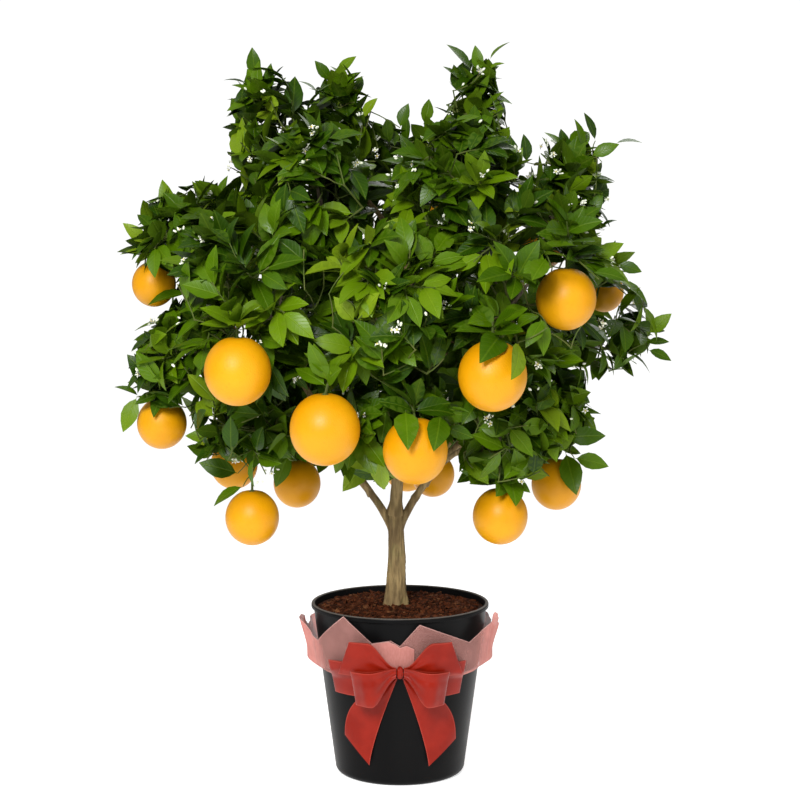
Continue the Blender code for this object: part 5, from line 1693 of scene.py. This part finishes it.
def points_mesh(name, rows):
    mesh = bpy.data.meshes.new(name)
    mesh.from_pydata([tuple(place) for place, _ in rows], [], [])
    aims = mesh.attributes.new("aim", "FLOAT_VECTOR", "POINT")
    aims.data.foreach_set("vector", np.array([aim for _, aim in rows], dtype=np.float32).ravel())
    return mesh


open_flowers, closed_buds = [], []
for mass, nodes in TWIGS.items():
    rng = RANDOM[mass]
    ends = sorted(free_ends(nodes), key=lambda number: -distance(nodes[number][0], CROWN_MIDDLE))
    for number in rng.sample(ends[:OUTER_SHOOTS], CLUSTERS_PER_MASS):
        end, start = nodes[number][0], nodes[nodes[number][1]][0]
        axis = unit(end - start)
        outer = end + unit(end - CROWN_MIDDLE) * CLUSTER_OUTWARD
        open_flowers += cluster_points(outer, axis, rng.randint(*FLOWERS_PER_CLUSTER), rng)
        closed_buds += cluster_points(outer, axis, rng.randint(*BUDS_PER_CLUSTER), rng)
print("blossom:", len(open_flowers), "flowers,", len(closed_buds), "buds")


# %% Shapes that are repeated
PETALS = 5
# The corners of a petal one unit long: how far out, how far across and how high each lies
PETAL_CORNERS = ((0.08, 0, 0), (0.55, -0.24, 0.38), (0.55, 0.24, 0.38), (1, 0, 0.25),
                 (0.55, 0, 0.43), (0.55, 0, 0.33))
PETAL_FACES = ((0, 1, 4), (0, 4, 2), (1, 3, 4), (4, 3, 2), (0, 5, 1), (0, 2, 5), (1, 5, 3), (5, 2, 3))
BEAD_SIDES = 6
BEAD_BANDS = 4
BEAD_POLE = 0.25


def petal_star():
    """Narrow petals that spread and curl back, each a thin closed kite."""
    parts = []
    for turn in full_turn(PETALS):
        axes = np.array([(math.cos(turn), math.sin(turn), 0), (-math.sin(turn), math.cos(turn), 0), UP])
        points = np.array(PETAL_CORNERS) @ axes
        parts.append((points, turned_outward(points - points.mean(axis=0), np.array(PETAL_FACES))))
    return join_arrays(parts)


def bead(length):
    """A closed bead along Z, one unit wide and as long as told."""
    return ring_solid([level_ring(0.5 * math.sin(tilt), 0.5 * length * (1 + math.cos(tilt)), BEAD_SIDES)
                       for tilt in np.linspace(math.pi - BEAD_POLE, BEAD_POLE, BEAD_BANDS)])


def build_blossom_tree():
    group, given, result = new_group(
        "put_on_points", "GeometryNodeTree",
        {"Points": "Geometry", "Shape": "Object", "Smallest": 0.004, "Largest": 0.006, "Seed": 1,
         "Finish": "Material"},
        {"Blossom": "Geometry"})
    shape = add_node(group, "GeometryNodeObjectInfo", {"Object": given["Shape"], "As Instance": True})
    aim = add_node(group, "GeometryNodeInputNamedAttribute", {"Name": "aim"}, data_type="FLOAT_VECTOR")
    turn = add_node(group, "FunctionNodeAlignRotationToVector", {"Vector": aim.outputs["Attribute"]},
                    axis="Z")
    size = add_node(group, "FunctionNodeRandomValue",
                    {2: given["Smallest"], 3: given["Largest"], "Seed": given["Seed"]}, data_type="FLOAT")
    placed = add_node(group, "GeometryNodeInstanceOnPoints",
                      {"Points": given["Points"], "Instance": shape.outputs["Geometry"],
                       "Rotation": turn.outputs["Rotation"], "Scale": size.outputs[1]})
    return finish_instances(group, placed, given["Finish"], result["Blossom"])


# %% Place the blossom
def petal_finish(name, base, over):
    finish = Finish(name, {"Specular IOR Level": 0.35})
    cloud = finish.patches(300.0, 0.35, 0.65)
    return finish.into(colour=finish.tint(base, over, cloud), roughness=finish.range(cloud, 0.5, 0.65),
                       normal=finish.bump(cloud, 0.0002, 0.4))


BLOSSOM_TREE = build_blossom_tree()
# Each kind: its shape, where it goes, its smallest and largest size and two colours
BLOSSOM_KINDS = {
    "blossom_petals": (petal_star(), open_flowers, (0.0038, 0.0052), (0.90, 0.90, 0.82), (0.82, 0.84, 0.72)),
    "blossom_hearts": (bead(1.4), open_flowers, (0.0017, 0.0023), (0.80, 0.62, 0.12), (0.72, 0.66, 0.25)),
    "blossom_buds": (bead(1.7), closed_buds, (0.0024, 0.0035), (0.90, 0.90, 0.82), (0.74, 0.79, 0.56)),
}
for name, (shape, places, sizes, base, over) in BLOSSOM_KINDS.items():
    finish = petal_finish(name, base, over)
    source = new_mesh(f"{name}_shape", *shape, finish)
    blossom = run_tree(BLOSSOM_TREE, points_mesh(name, places),
                       {"Shape": source, "Smallest": sizes[0], "Largest": sizes[1], "Finish": finish}, name)
    bpy.data.objects.remove(source)
    dress(blossom, "foliage")

# %% [markdown]
# ## The pink wrap
#
# A band of sheer pink non-woven cloth is gathered round the pot behind the bow. It is tied close to the
# wall and opens upwards in flutes, with pointed corners that stand away at the sides. It is a grid round
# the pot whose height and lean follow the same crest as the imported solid, with flutes and small creases
# that grow towards the free edge. Over the pot it lies single and the black shows through. At the sides,
# at the tie and in the small ruffle above the knot it lies double and looks salmon, so how well it covers
# depends on the place along the cloth and across it.

# %% The crest of the wrap
# How far round from the front each crest or dip stands, its height, and how far it leans out
WRAP_CREST = (
    (-180, 0.188, 0.008), (-156, 0.198, 0.012), (-138, 0.184, 0.008), (-114, 0.197, 0.012),
    (-102, 0.187, 0.013), (-84, 0.208, 0.016), (-60, 0.184, 0.011), (-36, 0.222, 0.006),
    (-18, 0.190, 0.003), (-6, 0.194, 0.001), (0, 0.187, 0.001), (12, 0.215, 0.004),
    (48, 0.185, 0.008), (72, 0.216, 0.0165), (96, 0.187, 0.015), (114, 0.198, 0.012),
    (138, 0.184, 0.008), (162, 0.198, 0.012),
)
WRAP_COLUMNS = 540
WRAP_ROWS = 30
WRAP_THICKNESS = 0.00035
WRAP_STANDOFF = 0.0011
WRAP_TIE_FRONT = 0.150
WRAP_TIE_BACK = 0.140
WRAP_TIE_SPREAD = 50.0
WRAP_FULLNESS = 5.0
FLUTES = ((13, 0.4, 0.34), (23, 1.9, 0.38), (37, 4.1, 0.28))
FLUTE_DEPTH = 0.0090
FLUTE_DEPTH_FRONT = 0.0007
FLUTE_DRAWN_IN = 0.55
FLUTES_START = 57.0
FLUTES_FULL = 74.0
FLUTE_AT_TIE = 0.12
CREASE_DEPTH = 0.0020
CREASE_FRONT = 0.2
# How close the coarse and the fine creases stand, round the pot and up the cloth
COARSE_CREASES = (9, 4)
FINE_CREASES = (23, 9)
# The ruffle above the knot: how far round from the front, and the height of its edge there
RUFFLE_EDGE = ((-20, 0.1880), (-13, 0.1915), (-7, 0.1928), (-3, 0.1895), (0, 0.1850), (4, 0.1880),
               (9, 0.1835))
RUFFLE_FOOT = 0.158
RUFFLE_STANDOFF = 0.0013
RUFFLE_COLUMNS = 56
RUFFLE_ROWS = 12
RUFFLE_WAVES = 0.0003
RUFFLE_WAVE_COUNT = 0.9
RUFFLE_DOUBLED = 0.62


def wrap_edges(angle):
    """The heights of the wrap's tied lower edge and of its crest, and how far the crest leans out, at
    degrees from the front."""
    rows = [*WRAP_CREST, (180, *WRAP_CREST[0][1:])]
    front = 1 - ease(abs(angle) / WRAP_TIE_SPREAD)
    tie = WRAP_TIE_BACK + (WRAP_TIE_FRONT - WRAP_TIE_BACK) * front
    return tie, interpolate(rows, angle), interpolate(rows, angle, 2)


def round_the_pot(turn, radius, height):
    """The point at a turn in radians from the front."""
    return radius * math.sin(turn), -radius * math.cos(turn), height


def wrap_point(angle, share):
    """A point of the cloth: tied close to the wall below, leaning out and fluted above."""
    tie, crest, lean = wrap_edges(angle)
    height = tie + (crest - tie) * share
    turn = math.radians(angle)
    aside = ease((abs(angle) - FLUTES_START) / (FLUTES_FULL - FLUTES_START))
    wave = sum(weight * (0.5 + 0.5 * math.sin(count * turn + phase)) for count, phase, weight in FLUTES)
    depth = FLUTE_DEPTH_FRONT + (FLUTE_DEPTH - FLUTE_DEPTH_FRONT) * aside
    opened = FLUTE_AT_TIE + (1 - FLUTE_AT_TIE) * share
    flute = depth * opened * wave - depth * FLUTE_DRAWN_IN * aside * ease(share * 2)
    coarse, fine = (noise.noise(Vector((turn * across, share * up, layer)))
                    for (across, up), layer in ((COARSE_CREASES, 2.0), (FINE_CREASES, 5.0)))
    crumple = 0.5 + 0.4 * (coarse + 0.5 * fine)
    crease = CREASE_DEPTH * (CREASE_FRONT + (1 - CREASE_FRONT) * aside) * share * crumple
    radius = wall_radius(height) + WRAP_STANDOFF + lean * ease(share * WRAP_FULLNESS) + flute + crease
    return round_the_pot(turn, radius, height)


def ruffle_point(angle, share):
    """A point of the cloth that is folded down double above the knot."""
    height = RUFFLE_FOOT + (interpolate(RUFFLE_EDGE, angle) - RUFFLE_FOOT) * share
    _, _, lean = wrap_edges(angle)
    turn = math.radians(angle)
    wave = RUFFLE_WAVES * share * math.sin(angle * RUFFLE_WAVE_COUNT)
    radius = wall_radius(height) + WRAP_STANDOFF + FLUTE_DEPTH_FRONT + RUFFLE_STANDOFF + lean + wave
    return round_the_pot(turn, radius, height)


# %% Sheets from a grid of points
SHEET_SHARP_ANGLE = 70


def sheet_piece(name, rows, closed, thickness, finish):
    """A thin closed sheet through rows of points, with its UV along the rows and across them."""
    rows = np.asarray(rows)
    count, columns = rows.shape[:2]
    quads = grid_quads(count, columns, closed)
    spans = len(quads) // (count - 1)
    column, row = np.tile(np.arange(spans), count - 1), np.repeat(np.arange(count - 1), spans)
    corners = [np.column_stack([(column + right) / spans, (row + up) / (count - 1)])
               for right, up in ((0, 0), (1, 0), (1, 1), (0, 1))]
    mesh = bpy.data.meshes.new(name)
    mesh.from_pydata(rows.reshape(-1, 3).tolist(), [], quads.tolist())
    set_uv(mesh, np.stack(corners, axis=1))
    mesh.materials.append(finish)
    obj = add_object(name, mesh)
    body = obj.modifiers.new("Cloth", "SOLIDIFY")
    body.thickness = thickness
    body.offset = 0.0
    apply_modifiers(obj)
    smooth(obj.data, SHEET_SHARP_ANGLE)
    return obj


# %% The cloth's finish
def sheer_cloth(name, doubled):
    """Pink cloth that covers less where it lies single. It lies double at the tie, and besides either at the
    sides, if doubled is 0, or everywhere by the share told."""
    finish = Finish(name, {"Specular IOR Level": 0.1, "Sheen Weight": 0.1, "Sheen Roughness": 0.5})
    around, height = finish.surface()
    fibres = finish.patches(700.0, 0.40, 0.62, (1.0, 1.0, 0.22), 4.0)
    clouds = finish.patches(42.0, 0.35, 0.65)
    aside = finish.ramp(finish.math("ABSOLUTE", finish.math("SUBTRACT", around, 0.5)), 0.150, 0.185)
    tied = finish.ramp(height, 0.0, 0.16, 1.0, 0.0)
    double = finish.math("MAXIMUM", tied, doubled or aside)
    hem = finish.ramp(height, 0.975, 0.992)
    colour = finish.tint((0.390, 0.178, 0.155), (0.680, 0.255, 0.215), double)
    colour = finish.tint(colour, (0.680, 0.420, 0.380), fibres, 0.08)
    colour = finish.tint(colour, (0.720, 0.450, 0.410), hem, 0.5)
    cover = finish.math("ADD", 0.46, finish.math("MULTIPLY", double, 0.24))
    cover = finish.math("ADD", cover, finish.range(fibres, -0.02, 0.03))
    cover = finish.math("ADD", cover, finish.range(clouds, -0.05, 0.06))
    cover = finish.math("MAXIMUM", cover, finish.math("MULTIPLY", hem, 0.72))
    return finish.into(colour=colour, alpha=cover, roughness=finish.range(fibres, 0.7, 0.85),
                       normal=finish.bump(fibres, 0.0002, 0.35))


wrap_angles = [-180 + 360 * i / WRAP_COLUMNS for i in range(WRAP_COLUMNS)]
wrap_rows = [[wrap_point(angle, row / WRAP_ROWS) for angle in wrap_angles] for row in range(WRAP_ROWS + 1)]
wrap = sheet_piece("pink_wrap", wrap_rows, True, WRAP_THICKNESS, sheer_cloth("sheer_pink_cloth", 0.0))
dress(wrap, "wrap_cloth", "wrap")
ruffle_angles = np.linspace(RUFFLE_EDGE[0][0], RUFFLE_EDGE[-1][0], RUFFLE_COLUMNS + 1)
ruffle_rows = [[ruffle_point(angle, row / RUFFLE_ROWS) for angle in ruffle_angles]
               for row in range(RUFFLE_ROWS + 1)]
ruffle = sheet_piece("pink_wrap_ruffle", ruffle_rows, False, WRAP_THICKNESS,
                     sheer_cloth("double_pink_cloth", RUFFLE_DOUBLED))
dress(ruffle, "wrap_cloth")


def sheet_area(obj):
    """The area of one side of a thin closed sheet, in square metres."""
    return sum(polygon.area for polygon in obj.data.polygons) / 2


WRAP_CUT = (0.062, 0.86)
RUFFLE_CUT = (0.030, 0.055)
for piece, cut in ((wrap, WRAP_CUT), (ruffle, RUFFLE_CUT)):
    print(f"{piece.name}: cloth {sheet_area(piece):.4f} m2 of a cut of {cut[0] * cut[1]:.4f}")

# %% [markdown]
# ## The bow
#
# The bow is tied from a satin ribbon 44 mm wide: three loops a side, a knot that pinches them and two
# tails cut on the slant. Each loop runs out from the knot close to the wall, turns round its far end and
# comes back in front of itself. A grid follows that path. The ribbon is pleated where the knot holds it
# and opens to its full width outwards, which gives the creases that fan out from the knot. The front loops
# are puffed out and show a bright upright fold near their far ends.

# %% Sizes of the bow
KNOT_HEIGHT = 0.154
KNOT_SIZE = (0.009, 0.0124, 0.017)
KNOT_BACK = -0.0009
RIBBON_WIDTH = 0.044
RIBBON_THICKNESS = 0.0004
RIBBON_PINCH = 0.012
RIBBON_PASS_GAP = 0.0016
BOW_STANDOFF = 0.0028
BOW_OVER_WRAP = 5.0
# Each loop: its reach to the left and to the right, the slant and the rise of its far end, how far its
# passes stand off at the knot, how much farther they stand off where it is open, how deep it opens, how far
# the middle of its front pass puffs out and how far its lower edge sags
LOOPS = {
    "bow_loop_back": (0.0858, 0.0790, 0.10, -0.0117, 0.0018, 0.0012, 0.0058, 0.0004, 0.0),
    "bow_loop_upper": (0.0703, 0.0712, -0.20, 0.0170, 0.0048, 0.0062, 0.0045, 0.0009, 0.0),
    "bow_loop_front": (0.0580, 0.0580, 0.12, -0.0188, 0.0080, 0.0096, 0.0100, 0.0055, 0.0012),
}
LOOP_STATIONS = 72
LOOP_ROUNDNESS = 0.7
LOOP_OPENS_BY = 1.6
RIBBON_COLUMNS = 22
PLEATS = 2.5
PLEAT_DEPTH = 0.0013
PLEAT_PHASE = 0.6
# The share of the pleats' depth that is lost where a loop is open, and that the back pass keeps
PLEATS_LOST = 0.8
PLEATS_AT_BACK = 0.3
# The creases that fan out from the knot: their depth, how close they stand, their phase and where they end
LONG_CREASE = 0.0018
FAN = (7.0, 1.2, 1.1)
# The higher this is, the farther out a loop is puffed most
PUFF_PLACE = 1.4
# The upright fold of the puffed loops: where it stands, its width and its depth
FOLD_PLACE = 0.74
FOLD_WIDTH = 0.10
FOLD_DEPTH = 0.0026
FOLD_NEEDS_PUFF = 0.001
# Each tail: its side, then how far across and how high the inner and the outer corner of its end lie
TAILS = {
    "bow_tail_left": (-1, (0.0386, 0.0282), (0.0698, 0.0640)),
    "bow_tail_right": (1, (0.0363, 0.0273), (0.0706, 0.0584)),
}
TAIL_STATIONS = 56
TAIL_START = (0.003, 0.010)
TAIL_BENDS = (1.3, 2.6)
TAIL_NEAR = -0.0010
TAIL_BILLOW = 0.0035
TAIL_BILLOW_STARTS = 0.35
TAIL_PLEATS_FADE = 2.2
# The ripple of a tail: its strength, its waves along the tail and its slant across it
TAIL_RIPPLE = (0.6, 6.5, 1.8)


def bow_point(across, height, clearance):
    """A point of the bow, sideways from its middle, that stands off the wall and the wrap by a clearance."""
    radius = wall_radius(height) + BOW_STANDOFF + clearance
    tie, crest, lean = wrap_edges(math.degrees(math.asin(across / radius)))
    radius += lean * min(max((height - tie) / (crest - tie) * BOW_OVER_WRAP, 0.0), 1.0)
    return across, -math.sqrt(radius * radius - across * across), height


# %% Rows of points for loops and tails
def ribbon_folds(out, opened, front, edge, puff):
    """How far the pleats at the knot, the long creases and the puffed middle lift a point of a loop."""
    wave = (1 + math.sin(PLEATS * 2 * math.pi * edge + PLEAT_PHASE)) / 2
    pleat = PLEAT_DEPTH * (1 - PLEATS_LOST * opened) * wave
    fan = LONG_CREASE * math.sin(FAN[0] * edge + FAN[1]) ** 2 * opened * max(1 - out * FAN[2], 0.0)
    belly = puff * opened * (1 - (2 * edge) ** 2) * math.sin(math.pi * min(out, 1.0) ** PUFF_PLACE) ** 0.5
    crest = math.exp(-(((out - FOLD_PLACE) / FOLD_WIDTH) ** 2))
    fold = FOLD_DEPTH * (puff > FOLD_NEEDS_PUFF) * crest * (1 - abs(edge))
    return (PLEATS_AT_BACK + (1 - PLEATS_AT_BACK) * front) * pleat + front * (fan + belly + fold)


def loop_rows(side, reach, slant, rise, pinch, lift, depth, puff, sag):
    """A ribbon loop: out from the knot close to the wall, round its far end and back in front of itself."""
    rows = []
    knot_side = KNOT_SIZE[0] / 2 + SEAT_GAP
    for number in range(LOOP_STATIONS + 1):
        swing = math.pi * (number / LOOP_STATIONS - 0.5)
        out = max(math.cos(swing), 0.0) ** LOOP_ROUNDNESS
        front = 0.5 + 0.5 * math.sin(swing)
        opened = ease(out * LOOP_OPENS_BY)
        wide = RIBBON_PINCH + (RIBBON_WIDTH - RIBBON_PINCH) * opened
        clearance = pinch + lift * opened + front * (RIBBON_PASS_GAP + (depth - RIBBON_PASS_GAP) * opened)
        middle = KNOT_HEIGHT + rise * opened
        row = []
        for column in range(RIBBON_COLUMNS + 1):
            edge = column / RIBBON_COLUMNS - 0.5
            across = knot_side + (reach * (1 + slant * edge) - knot_side) * out
            hang = sag * max(-2 * edge, 0.0) * math.sin(math.pi * out) * front
            folds = ribbon_folds(out, opened, front, edge, puff)
            row.append(bow_point(side * across, middle + edge * wide - hang, clearance + folds))
        rows.append(row)
    return rows


def tail_rows(side, inner_end, outer_end):
    """A ribbon tail that leaves from under the knot, splays out and falls, its end cut on the slant."""
    rows = []
    top = KNOT_HEIGHT - KNOT_SIZE[2] / 2 - SEAT_GAP
    for number in range(TAIL_STATIONS + 1):
        fallen = number / TAIL_STATIONS
        edges = []
        for start, (end, low), bend in zip(TAIL_START, (inner_end, outer_end), TAIL_BENDS):
            edges.append((start + (end - start) * (1 - (1 - fallen) ** bend), top + (low - top) * fallen))
        row = []
        for column in range(RIBBON_COLUMNS + 1):
            share = column / RIBBON_COLUMNS
            across, height = (a + (b - a) * share for a, b in zip(*edges))
            fading = 1 - ease(fallen * TAIL_PLEATS_FADE)
            pleat = PLEAT_DEPTH * fading * math.sin(PLEATS * math.pi * share) ** 2
            ripple = 1 + TAIL_RIPPLE[0] * math.sin(TAIL_RIPPLE[1] * fallen + TAIL_RIPPLE[2] * share)
            billow = TAIL_BILLOW * ease((fallen - TAIL_BILLOW_STARTS) * 2) * ripple
            row.append(bow_point(side * across, height, TAIL_NEAR + billow + pleat))
        rows.append(row)
    return rows


# %% Satin
def satin_finish(name):
    finish = Finish(name, {"Specular IOR Level": 0.17, "Sheen Weight": 0.02, "Sheen Roughness": 0.35})
    across, _ = finish.surface()
    from_edge = finish.math("SUBTRACT", 0.5, finish.math("ABSOLUTE", finish.math("SUBTRACT", across, 0.5)))
    selvedge = finish.ramp(from_edge, 0.012, 0.035, 1.0, 0.0)
    threads = finish.patches(900.0, 0.3, 0.7, (1.0, 1.0, 0.12), 2.0)
    cloud = finish.patches(30.0, 0.35, 0.65)
    colour = finish.tint((0.205, 0.007, 0.001), (0.255, 0.011, 0.003), cloud)
    colour = finish.tint(colour, (0.480, 0.070, 0.045), selvedge, 0.4)
    colour = finish.tint(colour, (0.200, 0.007, 0.003), threads, 0.20)
    return finish.into(colour=colour, roughness=finish.range(threads, 0.28, 0.36),
                       normal=finish.bump(threads, 0.0001, 0.4))


SATIN = satin_finish("red_satin")


def ribbon_piece(node, rows):
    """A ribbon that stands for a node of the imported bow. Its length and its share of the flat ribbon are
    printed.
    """
    piece = sheet_piece(f"{node}_satin", rows, False, RIBBON_THICKNESS, SATIN)
    dress(piece, "ribbon", node)
    middle = np.array(rows)[:, RIBBON_COLUMNS // 2]
    length = path_length(middle)
    share = sheet_area(piece) / (RIBBON_WIDTH * length)
    print(f"{node}: {length * 1000:.0f} mm of ribbon, cloth {share:.2f} of it")


# %% [markdown]
# The knot is a short band of the same ribbon, drawn tight round the middle, so it is a closed form with
# upright pleats that pull in at its waist.

# %% Tie the bow
KNOT_RINGS = 24
KNOT_SIDES = 48
KNOT_SQUARENESS = 0.7
KNOT_END = 0.25
KNOT_WAIST = 0.08
KNOT_PLEATS = 2200
KNOT_PLEAT_SLANT = 2.5
KNOT_PLEAT_DEPTH = 0.0004


def squared(amount):
    """A sine or cosine pressed towards a square, with its sign kept."""
    return math.copysign(abs(amount) ** KNOT_SQUARENESS, amount)


def knot_rings():
    """Level rings of the knot from its foot to its top, rounded like a cushion and pleated upright."""
    width, depth, height = KNOT_SIZE
    rings = []
    for level in np.linspace(-0.5, 0.5, KNOT_RINGS):
        cushion = max(max(1 - (2 * abs(level)) ** 4, 0.0) ** 0.5, KNOT_END)
        swell = cushion * (1 - KNOT_WAIST + KNOT_WAIST * math.cos(2 * math.pi * level))
        ring = []
        for turn in full_turn(KNOT_SIDES):
            across = squared(math.cos(turn)) * width / 2 * swell
            out = squared(math.sin(turn)) * depth / 2 * swell
            pleat = KNOT_PLEAT_DEPTH * math.sin(across * KNOT_PLEATS + KNOT_PLEAT_SLANT * level) * (out > 0)
            ring.append(bow_point(across, KNOT_HEIGHT + level * height, KNOT_BACK + depth / 2 + out + pleat))
        rings.append(ring)
    return np.array(rings)


knot_points, knot_triangles = ring_solid(knot_rings())
knot_uv = np.full((knot_triangles.size, 2), 0.5)
dress(new_mesh("bow_knot_satin", knot_points, knot_triangles, SATIN, knot_uv), "ribbon", "bow_knot")
for name, (left, right, *sizes) in LOOPS.items():
    for side, hand, reach in ((-1, "left", left), (1, "right", right)):
        ribbon_piece(f"{name}_{hand}", loop_rows(side, reach, *sizes))
for name, (side, *sizes) in TAILS.items():
    ribbon_piece(name, tail_rows(side, *sizes))

# %% [markdown]
# ## The size of the finished tree
#
# The dressed tree may stand a little proud of the imported model. Both boxes are printed.

# %% Print both boxes
dressed_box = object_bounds()
for label, box in (("packed", cad_box), ("dressed", dressed_box)):
    print(label, np.round(np.array(box) * 1000, 1).tolist(), "mm")
